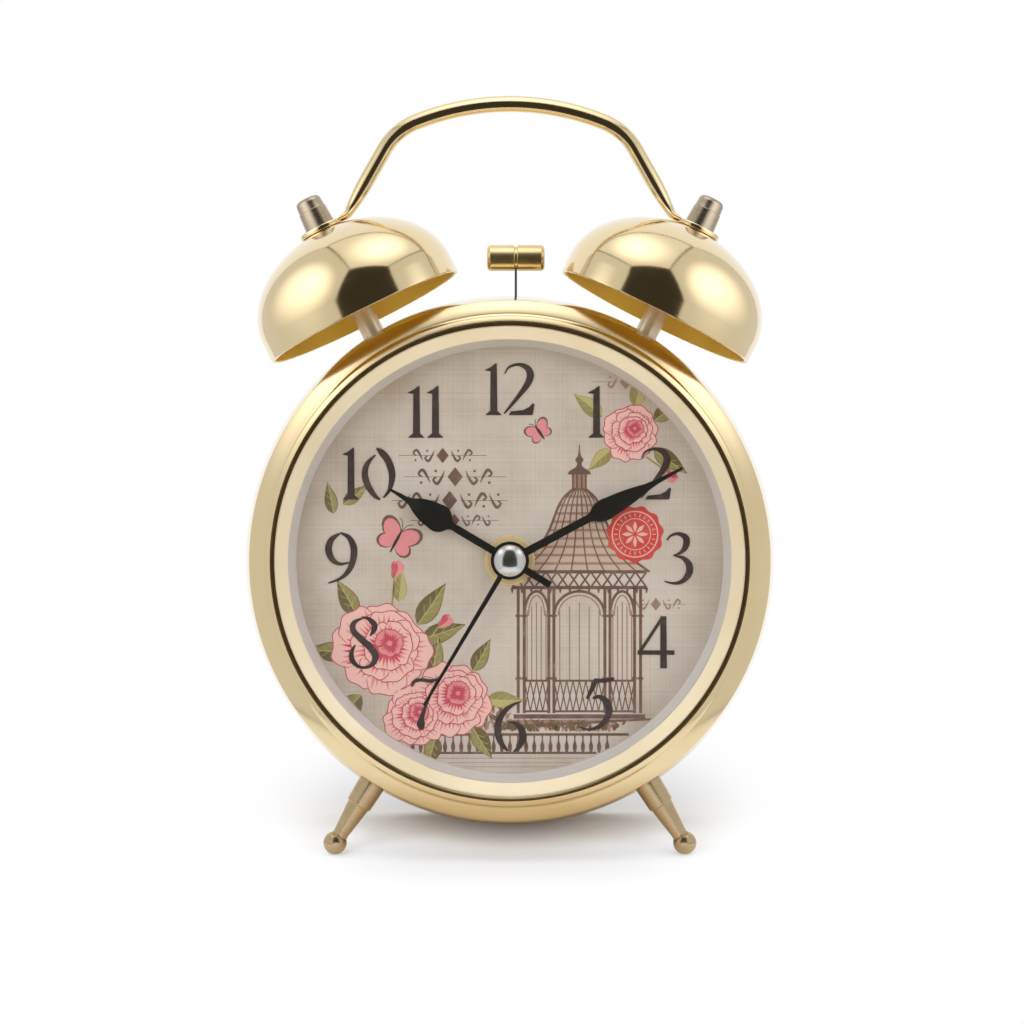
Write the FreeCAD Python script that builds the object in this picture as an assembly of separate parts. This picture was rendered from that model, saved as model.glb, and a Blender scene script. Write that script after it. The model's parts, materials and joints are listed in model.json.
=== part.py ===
"""A twin-bell alarm clock with a quartz movement, a motor-driven hammer and an alarm hand.

Every piece is first drawn on the upright clock: X runs to the right of the dial, Y runs from the
front of the clock to its back, with y = 0 at the front of the bezel, Z runs up, and the hands turn
on the Y axis. The finished clock is then leaned back until its two ball feet and the bead at the
back of its case stand on z = 0. All sizes are in millimetres and all angles in degrees.
"""
import FreeCAD, Part
import math
import os

from FreeCAD import Vector

# Bezel, window and dial, outwards from the window and backwards from the front
WINDOW_R = 47.1
BEVEL_WIDTH = 2.75
BEVEL_DEPTH = 2.0
BEVEL_FRONT_Y = 0.9
GROOVE_WIDTH = 0.85
GROOVE_Y = 2.6
NARROW_BEAD_WIDTH = 1.0
NARROW_BEAD_EDGE_Y = 0.5
NARROW_BEAD_BULGE = 0.06
COVE_WIDTH = 0.85
COVE_EDGE_Y = 1.8
COVE_BULGE = -0.12
BAND_WIDTH = 2.75
BAND_EDGE_Y = 3.2
BAND_BULGE = 0.24
BEZEL_DEPTH = 3.6
LENS_LIP = 0.2
LENS_T = 1.5
LENS_EDGE = 2.0
DIAL_RING_DEPTH = 8.2
DIAL_RING_TAPER = 1.45
DIAL_RING_WALL = 1.3
DIAL_RING_FLANGE_T = 1.0
DIAL_T = 0.8
CARRIER_T = 1.4
CARRIER_RIM_T = 1.2
CARRIER_STEP_IN = 0.45

# Case drum: a sheet barrel with an inward flange in front and a rolled bead behind
SHEET_T = 0.8
BARREL_RISE = 2.1
CREST_Y = 20.5
BARREL_BACK_Y = 40.2
BARREL_BACK_RISE = 0.2
BACK_BEAD_R = 1.1
BACK_BEAD_OUT = 0.8
BACK_BEAD_Y = 41.6
SEAT_GAP = 0.05
PART_GAP = 0.2

# Bells, posts and finial nuts
BELL_PLANE_Y = 17.0
POST_ANGLE = 31.1
BELL_TILT = 26.4
POST_SHOWN = 3.96
POST_R = 2.45
STUD_R = 1.5
STUD_HOLE_GAP = 0.1
STUD_INSIDE = 4.2
STUD_NUT_R = 3.0
STUD_NUT_T = 2.4
BELL_RIM_R = 22.55
BELL_SKIRT = 4.0
BELL_DOME = 17.0
BELL_T = 1.0
BELL_CROWN_R = 4.2
NUT_BASE_R = 3.35
NUT_WAIST_R = 3.1
NUT_TOP_R = 2.85
NUT_H = 6.9
NUT_STEP_AT = 4.1
NUT_ROUND = 1.1
NUT_BORE_DEPTH = 4.6

# Handle: one wire, with a flattened eyelet at each end
WIRE_R = 1.75
ARCH_TOP_Z = 99.05
ARCH_R = 55.0
HANDLE_CORNER_R = 13.7
LEG_SLOPE = 60.5
LEG_START = 7.5
LEG_BEND_R = 3.0
EYELET_R = 5.0
EYELET_T = 1.1
WIRE_LIFT = 1.15
FLAT_START = 3.7
FLAT_HALF_WIDTH = 3.0

# Feet
FOOT_ANGLE = 31.8
FOOT_Y = 8.5
FOOT_COLLAR_R = 2.95
FOOT_COLLAR_END_R = 2.75
FOOT_COLLAR_L = 5.3
FOOT_CONE_TOP_R = 2.4
FOOT_CONE_END_R = 1.67
FOOT_CONE_L = 6.9
FOOT_BALL_R = 2.5
FOOT_BALL_NECK = 2.6
FOOT_CONE_IN_BALL = 1.0
FOOT_FLAT = 0.12

# Hammer
HAMMER_X = 1.3
HAMMER_PIVOT_Z = 35.0
HAMMER_HEAD_Z = 65.6
HAMMER_HEAD_L = 12.5
HAMMER_HEAD_R = 2.8
HAMMER_HEAD_ROUND = 0.9
HAMMER_GROOVE = 0.7
HAMMER_GROOVE_DEPTH = 0.35
HAMMER_STRIP = 0.5
HAMMER_STRIP_W = 2.0
HAMMER_STRIP_TOP = 0.5
HAMMER_HUB_R = 2.1
HAMMER_HUB_L = 2.8
HAMMER_PIN_R = 0.8
HAMMER_SLOT_LEFT = 6.2
HAMMER_SLOT_RIGHT = 4.9
HAMMER_SLOT_W = 3.4
FORK_GAP = 5.8
FORK_PRONG = 1.0
FORK_TOP = 2.4
FORK_DEPTH = 8.9
BRACKET_T = 1.0
BRACKET_FRONT_Y = 19.6
BRACKET_LEG = 1.2
BRACKET_HALF_W = 9.8
BRACKET_BELOW_MOTOR = 5.6
BRACKET_ABOVE_PIVOT = 4.6

# Bell motor and crank
MOTOR_DROP = 7.0
MOTOR_R = 6.0
MOTOR_L = 13.4
MOTOR_SHAFT_R = 0.6
MOTOR_SHAFT_IN = 2.5
MOTOR_BEARING_L = 1.0
CRANK_R = 2.0
CRANK_T = 0.75
CRANK_THROW = 0.9
CRANK_PIN_R = 0.4

# Hands, nearest the dial last
SECOND_ANGLE = 210.7
MINUTE_ANGLE = 61.8
HOUR_ANGLE = 300.7
ALARM_ANGLE = 121.4
CAP_R = 3.42
CAP_FRONT_Y = 5.1
CAP_RIM = 0.3
CAP_SHOULDER = (0.62, 0.26)
CAP_BORE_DEPTH = 0.9
SECOND_HAND_Y = 6.8
MINUTE_HAND_Y = 7.6
HOUR_HAND_Y = 8.8
ALARM_HAND_Y = 10.0
SECOND_HAND_T = 0.3
HAND_T = 0.4
SECOND_LENGTH = 36.0
SECOND_HALF_W = 0.55
SECOND_TIP_HALF_W = 0.3
SECOND_BOSS_IN = 0.6
MINUTE_LENGTH = 41.9
MINUTE_HALF = [(0.85, 0), (0.85, 0.444), (0.95, 0.468, 1.5, 0.489), (2.25, 0.532, 2.2, 0.582),
               (1.75, 0.680, 0.85, 0.788), (0.55, 0.850), (0.3, 1.0)]
MINUTE_BOSS_R = 4.1
HOUR_LENGTH = 30.0
HOUR_HALF = [(0.83, 0), (0.83, 0.447), (0.95, 0.487, 1.7, 0.513), (2.85, 0.563, 2.85, 0.627),
             (2.2, 0.733, 0.9, 0.820), (0.55, 0.867), (0.25, 1.0)]
HOUR_BOSS_R = 3.9
ALARM_LENGTH = 10.2
ALARM_HALF_W = 0.75
ALARM_BOSS_R = 3.6
DIAL_NUT_R = 4.8
DIAL_NUT_T = 1.5
DIAL_NUT_NOTCH = 1.2
DIAL_WASHER_R = 5.4
DIAL_WASHER_T = 0.4

# Coaxial arbor and tubes on the clock's axis
RUN_GAP = 0.06
PRESS_GAP = 0.02
SECOND_ARBOR_R = 0.5
SECOND_ARBOR_PROUD = 0.8
MINUTE_TUBE_R = 1.0
HOUR_TUBE_R = 1.6
ALARM_TUBE_R = 2.3
BUSH_R = 3.4

# Movement case
MOVEMENT_HALF_W = 27.0
MOVEMENT_TOP_Z = 20.6
MOVEMENT_BOTTOM_Z = -26.0
MOVEMENT_WALL = 1.2
MOVEMENT_CORNER_R = 2.5
FRONT_HOUSING_DEPTH = 7.2
PLATE_T = 1.0
REAR_HOUSING_DEPTH = 8.0
ARBOR_R = 0.5
PIVOT_R = 0.35
PIVOT_GAP = 0.05
PIVOT_DEPTH = 0.6

# Motion work: teeth, module, and where each wheel lies behind the dial
MOTION_DISTANCE = 12.0
CANNON_TEETH = 12
MINUTE_WHEEL_TEETH = 36
MINUTE_PINION_TEETH = 10
HOUR_WHEEL_TEETH = 40
SET_PINION_TEETH = 12
ALARM_PINION_TEETH = 12
ALARM_WHEEL_TEETH = 48
MINUTE_WHEEL_ANGLE = 225.0
ALARM_SHAFT_ANGLE = 90.0
WHEEL_T = 1.0
PINION_LEAD = 0.1
PINION_TAIL = 0.3
ALARM_WHEEL_Y = 16.6
HOUR_WHEEL_Y = 18.6
MINUTE_WHEEL_Y = 20.3

# Going train, from the rotor to the centre wheel
THIRD_DISTANCE = 10.2
SECOND_PINION_TEETH = 8
THIRD_WHEEL_TEETH = 64
THIRD_PINION_TEETH = 8
CENTRE_WHEEL_TEETH = 60
THIRD_ANGLE = 340.0
STEP_DISTANCE = 10.8
SECOND_WHEEL_TEETH = 60
STEP_PINION_TEETH = 12
STEP_ANGLE = 150.0
ROTOR_DISTANCE = 8.4
STEP_WHEEL_TEETH = 48
ROTOR_PINION_TEETH = 8
ROTOR_ANGLE = 105.0
TRAIN_WHEEL_T = 0.6
TRAIN_PINION_LEAD = 0.2
CENTRE_WHEEL_Y = 23.7
THIRD_WHEEL_Y = 25.6
SECOND_WHEEL_Y = 27.4
STEP_WHEEL_Y = 28.6
ROTOR_MAGNET_R = 2.2
ROTOR_MAGNET_Y = 25.4
ROTOR_MAGNET_L = 2.0
PRESSURE_ANGLE = 20.0
BACKLASH = 0.10
TRAIN_BACKLASH = 0.12
TIP_SHARE = 0.9
ROOT_SHARE = 1.3

# Stepper coil, stator, circuit board and crystal
STATOR_Y = 26.0
STATOR_T = 0.8
STATOR_LEFT_X = 2.5
STATOR_RIGHT_X = 22.5
STATOR_TOP_Z = -7.0
STATOR_BOTTOM_Z = -23.0
STATOR_LEG = 3.5
STATOR_HEAD_LEFT_X = 9.3
STATOR_HEAD_BOTTOM_Z = -16.5
STATOR_AIR_GAP = 0.4
STATOR_STEP = 2.0
CORE_RISE = 0.3
COIL_R = 2.4
COIL_L = 11.6
CORE_W = 3.0
BOARD_LEFT_X = -25.4
BOARD_W = 25.0
BOARD_H = 7.0
BOARD_T = 1.0
CHIP_W = 4.0
CHIP_T = 1.0
CHIP_AT = 17.5
CRYSTAL_R = 1.0
CRYSTAL_L = 6.0
CRYSTAL_AT = 3.0

# Setting shafts and knobs
SET_SHAFT_R = 1.2
SET_FRONT_PIVOT_R = 0.6
KNOB_R = 6.5
KNOB_L = 8.0
KNOB_GAP = 0.5
KNOB_CHAMFER = 0.8
KNOB_BORE_DEPTH = 5.6
KNOB_FLUTES = 12
KNOB_FLUTE_R = 1.2
KNOB_FLUTE_DEPTH = 0.5

# Back cover, its screws and the pillars that take them
COVER_T = 2.0
COVER_LIP_T = 0.9
COVER_LIP_L = 2.4
PILLAR_X = 37.7
PILLAR_Z = 26.4
PILLAR_R = 2.6
SCREW_R = 1.2
SCREW_DEPTH = 8.0
SCREW_HEAD_R = 2.4
SCREW_HEAD_T = 1.3
SCREW_HEAD_ROUND = 0.78
SCREW_SLOT_W = 0.6
SCREW_SLOT_DEPTH = 0.6
SCREW_GAP = 0.15

# Battery, its box, contacts and door
CELL_R = 7.1
CELL_L = 48.6
CELL_NUB_R = 2.7
CELL_NUB_L = 1.4
CELL_EDGE = 0.5
CELL_Z = -36.5
CELL_GAP = 0.25
BOX_WALL = 1.2
BOX_END_ROOM = 1.9
CONTACT_T = 0.4
CONTACT_H = 9.0
CONTACT_BOW = 1.3
CONTACT_BOW_HALF = 2.7
DOOR_T = 1.6
DOOR_HALF_L = 27.0
DOOR_H = 15.2
DOOR_PIN_R = 0.5
DOOR_PIN_L = 0.9
DOOR_NOTCH_R = 2.6

# Alarm switch
SWITCH_X = 24.0
SWITCH_Z = 22.0
SWITCH_L = 10.0
SWITCH_H = 5.4
SWITCH_DEPTH = 4.0
SWITCH_TRAVEL = 3.0
SWITCH_WELL_DEPTH = 1.6
SLIDER_BASE_L = 5.2
SLIDER_BASE_H = 3.2
SLIDER_BASE_T = 1.3
SLIDER_NUB_L = 2.4
SLIDER_NUB_H = 2.0
SLIDER_NUB_OUT = 1.8
SLIDER_GAP = 0.2

# Where the rings lie, worked out from the sizes above
BEVEL_R = WINDOW_R + BEVEL_WIDTH
BEZEL_BORE_R = BEVEL_R + SEAT_GAP
GROOVE_R = BEZEL_BORE_R + GROOVE_WIDTH
BEAD_EDGE_R = GROOVE_R + NARROW_BEAD_WIDTH
COVE_EDGE_R = BEAD_EDGE_R + COVE_WIDTH
BEZEL_R = COVE_EDGE_R + BAND_WIDTH
DRUM_FRONT_R = BEZEL_R + SEAT_GAP
DRUM_CREST_R = DRUM_FRONT_R + BARREL_RISE
DRUM_BACK_R = DRUM_FRONT_R + BARREL_BACK_RISE
BACK_BEAD_CENTRE_R = DRUM_BACK_R + BACK_BEAD_OUT
LENS_FRONT_Y = BEVEL_FRONT_Y + BEVEL_DEPTH + LENS_LIP
LENS_BACK_Y = LENS_FRONT_Y + LENS_T
LENS_R = WINDOW_R + LENS_EDGE
DIAL_Y = LENS_BACK_Y + DIAL_RING_DEPTH
DIAL_BACK_Y = DIAL_Y + DIAL_T
CARRIER_BACK_Y = DIAL_BACK_Y + CARRIER_T
CARRIER_R = BEVEL_R + CARRIER_RIM_T - CARRIER_STEP_IN
PLATE_Y = CARRIER_BACK_Y + FRONT_HOUSING_DEPTH
REAR_HOUSING_Y = PLATE_Y + PLATE_T
MOVEMENT_BACK_Y = REAR_HOUSING_Y + REAR_HOUSING_DEPTH
COVER_BACK_Y = BACK_BEAD_Y
COVER_FRONT_Y = COVER_BACK_Y - COVER_T
COVER_R = DRUM_BACK_R - SHEET_T - PART_GAP
MOTOR_Z = HAMMER_PIVOT_Z - MOTOR_DROP

UP = Vector(0, 0, 1)
RIGHT = Vector(1, 0, 0)
BACK = Vector(0, 1, 0)
LEFT_SIDE = -1
RIGHT_SIDE = 1
SIDES = {"left": LEFT_SIDE, "right": RIGHT_SIDE}


def outline(start, *steps):
    """A closed flat face: a step of two numbers runs straight, one of four is an arc through two points."""
    edges = []
    here = Vector(start[0], start[1], 0)
    for step in steps + (start,):
        end = Vector(step[-2], step[-1], 0)
        if here.distanceToPoint(end) < 1e-6:
            continue
        if len(step) == 4:
            edges.append(Part.Arc(here, Vector(step[0], step[1], 0), end).toShape())
        else:
            edges.append(Part.LineSegment(here, end).toShape())
        here = end
    return Part.Face(Part.Wire(edges))


def bowed(start, end, bulge):
    """A step along an arc between two outline points, which bulges to the right of its way."""
    across, along = end[0] - start[0], end[1] - start[1]
    length = math.hypot(across, along)
    return ((start[0] + end[0]) / 2 + along / length * bulge,
            (start[1] + end[1]) / 2 - across / length * bulge, end[0], end[1])


def ring(start, *steps):
    """A solid turned about the clock's axis, from an outline of radius and y."""
    return outline(start, *steps).revolve(Vector(), BACK, 360)


def turned(foot, axis, start, *steps):
    """A solid turned about a slanting axis, from an outline of radius and height above its foot."""
    shape = outline(start, *steps).revolve(Vector(), BACK, 360)
    shape.Placement = FreeCAD.Placement(foot, FreeCAD.Rotation(BACK, axis))
    return shape


def rod(foot, axis, radius, length):
    """A plain round rod."""
    return Part.makeCylinder(radius, length, foot, axis)


def disc(x, z, radius, front, back):
    """A round disc or pin that lies along the clock's axis."""
    return rod(Vector(x, front, z), BACK, radius, back - front)


def block(x_low, x_high, y_low, y_high, z_low, z_high):
    """A box between two corners."""
    return Part.makeBox(x_high - x_low, y_high - y_low, z_high - z_low, Vector(x_low, y_low, z_low))


def plate(face_points, front, back):
    """A flat piece cut to an outline of x and z."""
    face = outline(*face_points)
    face.rotate(Vector(), RIGHT, 90)
    face.translate(Vector(0, front, 0))
    return face.extrude(Vector(0, back - front, 0))


def joined(first, *others):
    """One solid made of several that touch."""
    return first.fuse(list(others)).removeSplitter()


def mirrored(shape):
    """The same piece on the other side of the clock."""
    return shape.mirror(Vector(), RIGHT)


def clockwise(angle, distance=1.0):
    """The x and z of a point at an angle clockwise from 12 o'clock."""
    return distance * math.sin(math.radians(angle)), distance * math.cos(math.radians(angle))


def off(place, angle, distance):
    """The x and z of a point at a distance and a clockwise angle from another."""
    step = clockwise(angle, distance)
    return place[0] + step[0], place[1] + step[1]


def barrel_arc(inset):
    """Centre radius, centre y and radius of the arc that the barrel's wall follows."""
    front = Vector(DRUM_FRONT_R, BEZEL_DEPTH, 0)
    crest = Vector(DRUM_CREST_R, CREST_Y, 0)
    back = Vector(DRUM_BACK_R, BARREL_BACK_Y, 0)
    circle = Part.Arc(front, crest, back).toShape().Curve
    return circle.Center.x, circle.Center.y, circle.Radius - inset


def barrel_radius(y, inset=0.0):
    """The drum's outer radius at a depth, or its inner one with the sheet's thickness as inset."""
    centre_r, centre_y, radius = barrel_arc(inset)
    return centre_r + math.sqrt(radius ** 2 - (y - centre_y) ** 2)


def barrel_solid(inset):
    """The barrel's filled form, used to shape what seats on the drum from outside or inside."""
    front = BEZEL_DEPTH + inset
    middle = (front + BARREL_BACK_Y) / 2
    return ring((0, front), (barrel_radius(front, inset), front),
                (barrel_radius(middle, inset), middle,
                 barrel_radius(BARREL_BACK_Y, inset), BARREL_BACK_Y),
                (0, BARREL_BACK_Y))


# Bells, posts and handle all follow from the place where a post stands on the drum
def post_foot(side):
    """Where the axis of a bell's post meets the drum."""
    x, z = clockwise(POST_ANGLE * side, barrel_radius(BELL_PLANE_Y))
    return Vector(x, BELL_PLANE_Y, z)


def bell_axis(side):
    """The way a bell's post points."""
    x, z = clockwise(BELL_TILT * side)
    return Vector(x, 0, z)


def crown_height():
    """Height of the bell's flat crown over the plane of its rim."""
    return BELL_SKIRT + BELL_DOME * math.sqrt(1 - (BELL_CROWN_R / BELL_RIM_R) ** 2)


def dome_point(angle, inset):
    """Radius and height of a point of the bell's dome, by its angle up from the skirt."""
    return ((BELL_RIM_R - inset) * math.cos(math.radians(angle)),
            BELL_SKIRT + (BELL_DOME - inset) * math.sin(math.radians(angle)))


def bell_form(inset, bore):
    """The turned form of a bell: a short skirt under an elliptical dome with a flat crown."""
    top = crown_height() - inset
    skirt_r = BELL_RIM_R - inset
    edge = math.sqrt(1 - ((top - BELL_SKIRT) / (BELL_DOME - inset)) ** 2) * skirt_r
    ellipse = Part.Ellipse(Vector(0, BELL_SKIRT, 0), skirt_r, BELL_DOME - inset)
    start = ellipse.parameter(Vector(skirt_r, BELL_SKIRT, 0))
    end = ellipse.parameter(Vector(edge, top, 0))
    dome = Part.ArcOfEllipse(ellipse, start, end).toShape()
    corners = [Vector(bore, 0, 0), Vector(skirt_r, 0, 0), Vector(skirt_r, BELL_SKIRT, 0),
               Vector(edge, top, 0), Vector(bore, top, 0)]
    edges = [Part.LineSegment(corners[0], corners[1]).toShape(),
             Part.LineSegment(corners[1], corners[2]).toShape(), dome,
             Part.LineSegment(corners[3], corners[4]).toShape(),
             Part.LineSegment(corners[4], corners[0]).toShape()]
    return Part.Face(Part.Wire(edges)).revolve(Vector(), BACK, 360)


def on_bell(shape, side, height=0.0):
    """Seat a turned form on a bell's axis, at a height over the plane of the rim."""
    placed = shape.copy()
    foot = post_foot(side) + bell_axis(side) * (POST_SHOWN + height)
    placed.Placement = FreeCAD.Placement(foot, FreeCAD.Rotation(BACK, bell_axis(side)))
    return placed


def bell(side):
    """One bell, with a hole in its crown for the stud."""
    hole = STUD_R + SEAT_GAP
    outer = bell_form(0, hole)
    inner = bell_form(BELL_T, 0)
    return on_bell(outer.cut(inner), side)


def bell_post(side):
    """The turned post: a shoulder from the drum to the bell's crown, with a stud at both ends."""
    shoulder = POST_SHOWN + crown_height() - BELL_T
    sunk = POST_R
    post = rod(post_foot(side) - bell_axis(side) * sunk, bell_axis(side), POST_R, shoulder + sunk)
    post = post.cut(barrel_solid(0))
    stud_foot = post_foot(side) - bell_axis(side) * STUD_INSIDE
    stud_length = STUD_INSIDE + shoulder + BELL_T + EYELET_T + NUT_BORE_DEPTH - PART_GAP
    return joined(post, rod(stud_foot, bell_axis(side), STUD_R, stud_length))


def stud_nut(foot, axis):
    """A six-sided nut that seats against the inside of the drum, round a stud."""
    corners = []
    for corner in range(6):
        corners.append(clockwise(60 * corner, STUD_NUT_R))
    nut = outline(*corners).extrude(Vector(0, 0, 2 * STUD_NUT_T))
    nut.Placement = FreeCAD.Placement(foot, FreeCAD.Rotation(UP, axis))
    bore = rod(foot, axis, STUD_R + SEAT_GAP, 2 * STUD_NUT_T)
    return nut.common(barrel_solid(SHEET_T)).cut(bore)


def bell_post_nuts():
    """The nuts on the two bell posts, inside the drum."""
    nuts = []
    for side in SIDES.values():
        foot = post_foot(side) - bell_axis(side) * (SHEET_T + STUD_NUT_T)
        nuts.append(stud_nut(foot, bell_axis(side)))
    return Part.makeCompound(nuts)


def finial_nut(side):
    """The tall round nut on top of a bell, with a fine step and a rounded top."""
    nut = outline((0, 0), (NUT_BASE_R, 0), (NUT_WAIST_R, NUT_STEP_AT), (NUT_TOP_R, NUT_STEP_AT),
                  (NUT_TOP_R, NUT_H - NUT_ROUND),
                  (NUT_TOP_R - NUT_ROUND * (1 - math.sqrt(0.5)), NUT_H - NUT_ROUND * (1 - math.sqrt(0.5)),
                   NUT_TOP_R - NUT_ROUND, NUT_H), (0, NUT_H))
    shape = nut.revolve(Vector(), BACK, 360)
    bore = outline((0, 0), (STUD_R + SEAT_GAP, 0), (STUD_R + SEAT_GAP, NUT_BORE_DEPTH), (0, NUT_BORE_DEPTH))
    shape = shape.cut(bore.revolve(Vector(), BACK, 360))
    return on_bell(shape, side, crown_height() + EYELET_T)


def eyelet_centre(side):
    """The middle of a handle eyelet, on the bell's axis."""
    return post_foot(side) + bell_axis(side) * (POST_SHOWN + crown_height() + EYELET_T / 2)


def handle_route():
    """Corners and tangent points of the left half of the wire, from its eyelet to the top of the arch."""
    axis = bell_axis(LEFT_SIDE)
    inward = Vector(axis.z, 0, -axis.x)
    low = eyelet_centre(LEFT_SIDE) + axis * WIRE_LIFT
    corner = low + inward * LEG_START
    climb = Vector(math.cos(math.radians(LEG_SLOPE)), 0, math.sin(math.radians(LEG_SLOPE)))
    inside = Vector(climb.z, 0, -climb.x)
    turn = inward.getAngle(climb)
    reach = LEG_BEND_R * math.tan(turn / 2)
    arch_centre = Vector(0, BELL_PLANE_Y, ARCH_TOP_Z - ARCH_R)
    base = corner + inside * HANDLE_CORNER_R - arch_centre
    along = base.dot(climb)
    across = base.dot(base) - (ARCH_R - HANDLE_CORNER_R) ** 2
    climb_length = -along + math.sqrt(along ** 2 - across)
    bend_centre = corner + inside * HANDLE_CORNER_R + climb * climb_length
    leg_top = bend_centre - inside * HANDLE_CORNER_R
    to_arch = bend_centre - arch_centre
    to_arch.normalize()
    arch_start = arch_centre + to_arch * ARCH_R
    half = (arch_start - bend_centre).normalize() - inside
    bend_middle = bend_centre + half.normalize() * HANDLE_CORNER_R
    low_start = corner - inward * (reach + 0.2)
    low_end = corner - inward * reach
    low_turn = corner + climb * reach
    low_bend_centre = low_end + Vector(inward.z, 0, -inward.x) * -LEG_BEND_R
    low_middle = low_bend_centre + (corner - low_bend_centre).normalize() * LEG_BEND_R
    return {"start": low_start, "end": low_end, "middle": low_middle, "turn": low_turn,
            "leg_top": leg_top, "bend_middle": bend_middle, "arch_start": arch_start,
            "inward": inward}


def handle():
    """The bent wire, each end pressed into a flat eyelet that lies on a bell's crown."""
    route = handle_route()
    top = Vector(0, BELL_PLANE_Y, ARCH_TOP_Z)
    left = [Part.LineSegment(route["start"], route["end"]).toShape(),
            Part.Arc(route["end"], route["middle"], route["turn"]).toShape(),
            Part.LineSegment(route["turn"], route["leg_top"]).toShape(),
            Part.Arc(route["leg_top"], route["bend_middle"], route["arch_start"]).toShape()]
    arch_end = Vector(-route["arch_start"].x, BELL_PLANE_Y, route["arch_start"].z)
    arch = Part.Arc(route["arch_start"], top, arch_end).toShape()
    right = [mirrored(edge) for edge in reversed(left)]
    path = Part.Wire(Part.__sortEdges__(left + [arch] + right))
    section = Part.Wire(Part.makeCircle(WIRE_R, route["start"], route["inward"]))
    wire = path.makePipeShell([section], True, False)
    bell_tops = [on_bell(bell_form(0, 0), side) for side in SIDES.values()]
    ends = []
    for side in SIDES.values():
        axis = bell_axis(side)
        centre = eyelet_centre(side)
        tab = rod(centre - axis * (EYELET_T / 2), axis, EYELET_R, EYELET_T)
        flat_centre = eyelet_centre(LEFT_SIDE) + route["inward"] * FLAT_START
        flat = Part.Ellipse(flat_centre + BACK * FLAT_HALF_WIDTH,
                            flat_centre + bell_axis(LEFT_SIDE) * (EYELET_T / 2), flat_centre)
        round_end = Part.Circle(route["start"], route["inward"] * -1, WIRE_R)
        neck = Part.makeLoft([Part.Wire(flat.toShape()), Part.Wire(round_end.toShape())], True, True)
        if side == RIGHT_SIDE:
            neck = mirrored(neck)
        ends.append(neck)
        ends.append(tab)
    shape = joined(wire, *ends)
    for bell_top in bell_tops:
        shape = shape.cut(bell_top)
    for side in SIDES.values():
        start = eyelet_centre(side) - bell_axis(side) * EYELET_T
        shape = shape.cut(rod(start, bell_axis(side), STUD_R + SEAT_GAP, 3 * EYELET_T))
    return shape


# Case
def case_drum():
    """The sheet drum with its front flange, rolled back bead, stud holes and the hammer's slot."""
    outer = barrel_solid(0)
    inner = barrel_solid(SHEET_T)
    drum = outer.cut(inner)
    drum = drum.cut(disc(0, 0, CARRIER_R + PART_GAP, 0, BARREL_BACK_Y))
    bead = Part.makeTorus(BACK_BEAD_CENTRE_R, BACK_BEAD_R, Vector(0, BACK_BEAD_Y, 0), BACK)
    neck = ring((DRUM_BACK_R - SHEET_T, BARREL_BACK_Y), (DRUM_BACK_R, BARREL_BACK_Y),
                (DRUM_BACK_R + SHEET_T / 2, BACK_BEAD_Y), (DRUM_BACK_R - SHEET_T / 2, BACK_BEAD_Y))
    drum = joined(drum, neck, bead)
    hole_r = STUD_R + STUD_HOLE_GAP
    for side in SIDES.values():
        drum = drum.cut(rod(post_foot(side) - bell_axis(side) * STUD_INSIDE, bell_axis(side), hole_r,
                            STUD_INSIDE + POST_R))
        drum = drum.cut(rod(foot_root(side, -STUD_INSIDE), foot_axis(side), hole_r,
                            STUD_INSIDE + FOOT_COLLAR_R))
    half = HAMMER_SLOT_W / 2
    slot_left = HAMMER_X - HAMMER_SLOT_LEFT + half
    slot_right = HAMMER_X + HAMMER_SLOT_RIGHT - half
    low = DRUM_FRONT_R - SHEET_T
    high = DRUM_CREST_R + SHEET_T
    slot = block(slot_left, slot_right, BELL_PLANE_Y - half, BELL_PLANE_Y + half, low, high)
    for x in (slot_left, slot_right):
        slot = slot.fuse(rod(Vector(x, BELL_PLANE_Y, low), UP, half, high - low))
    return drum.cut(slot)


def front_bezel():
    """The outer ring: groove, sloping narrow bead, cove and broad round band."""
    bead_top, bead_edge = (GROOVE_R, 0), (BEAD_EDGE_R, NARROW_BEAD_EDGE_Y)
    cove_edge, band_edge = (COVE_EDGE_R, COVE_EDGE_Y), (BEZEL_R, BAND_EDGE_Y)
    return ring((BEZEL_BORE_R, BEZEL_DEPTH), (BEZEL_BORE_R, GROOVE_Y), (GROOVE_R, GROOVE_Y), bead_top,
                bowed(bead_top, bead_edge, NARROW_BEAD_BULGE), bowed(bead_edge, cove_edge, COVE_BULGE),
                bowed(cove_edge, band_edge, BAND_BULGE), (BEZEL_R, BEZEL_DEPTH))


def inner_bezel():
    """The flat bevel round the window, which grips the lens behind its lip."""
    lip_y = BEVEL_FRONT_Y + BEVEL_DEPTH
    return ring((BEVEL_R, BEVEL_FRONT_Y), (BEVEL_R, LENS_BACK_Y), (LENS_R + SEAT_GAP, LENS_BACK_Y),
                (LENS_R + SEAT_GAP, LENS_FRONT_Y), (WINDOW_R, LENS_FRONT_Y), (WINDOW_R, lip_y),
                (BEVEL_R - LENS_LIP, BEVEL_FRONT_Y))


def lens():
    """The flat clear lens."""
    return disc(0, 0, LENS_R, LENS_FRONT_Y, LENS_BACK_Y)


def dial_ring():
    """The grey cone between the lens and the dial."""
    end_r = WINDOW_R - DIAL_RING_TAPER
    flange_y = LENS_BACK_Y + DIAL_RING_FLANGE_T
    return ring((WINDOW_R, LENS_BACK_Y), (CARRIER_R, LENS_BACK_Y), (CARRIER_R, flange_y),
                (WINDOW_R + DIAL_RING_WALL, flange_y), (end_r + DIAL_RING_WALL, DIAL_Y), (end_r, DIAL_Y))


def dial():
    """The dial plate, with a hole for the movement's bush."""
    face = disc(0, 0, CARRIER_R - CARRIER_RIM_T - PART_GAP, DIAL_Y, DIAL_BACK_Y)
    return face.cut(disc(0, 0, BUSH_R + SEAT_GAP, DIAL_Y, DIAL_BACK_Y))


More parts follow.
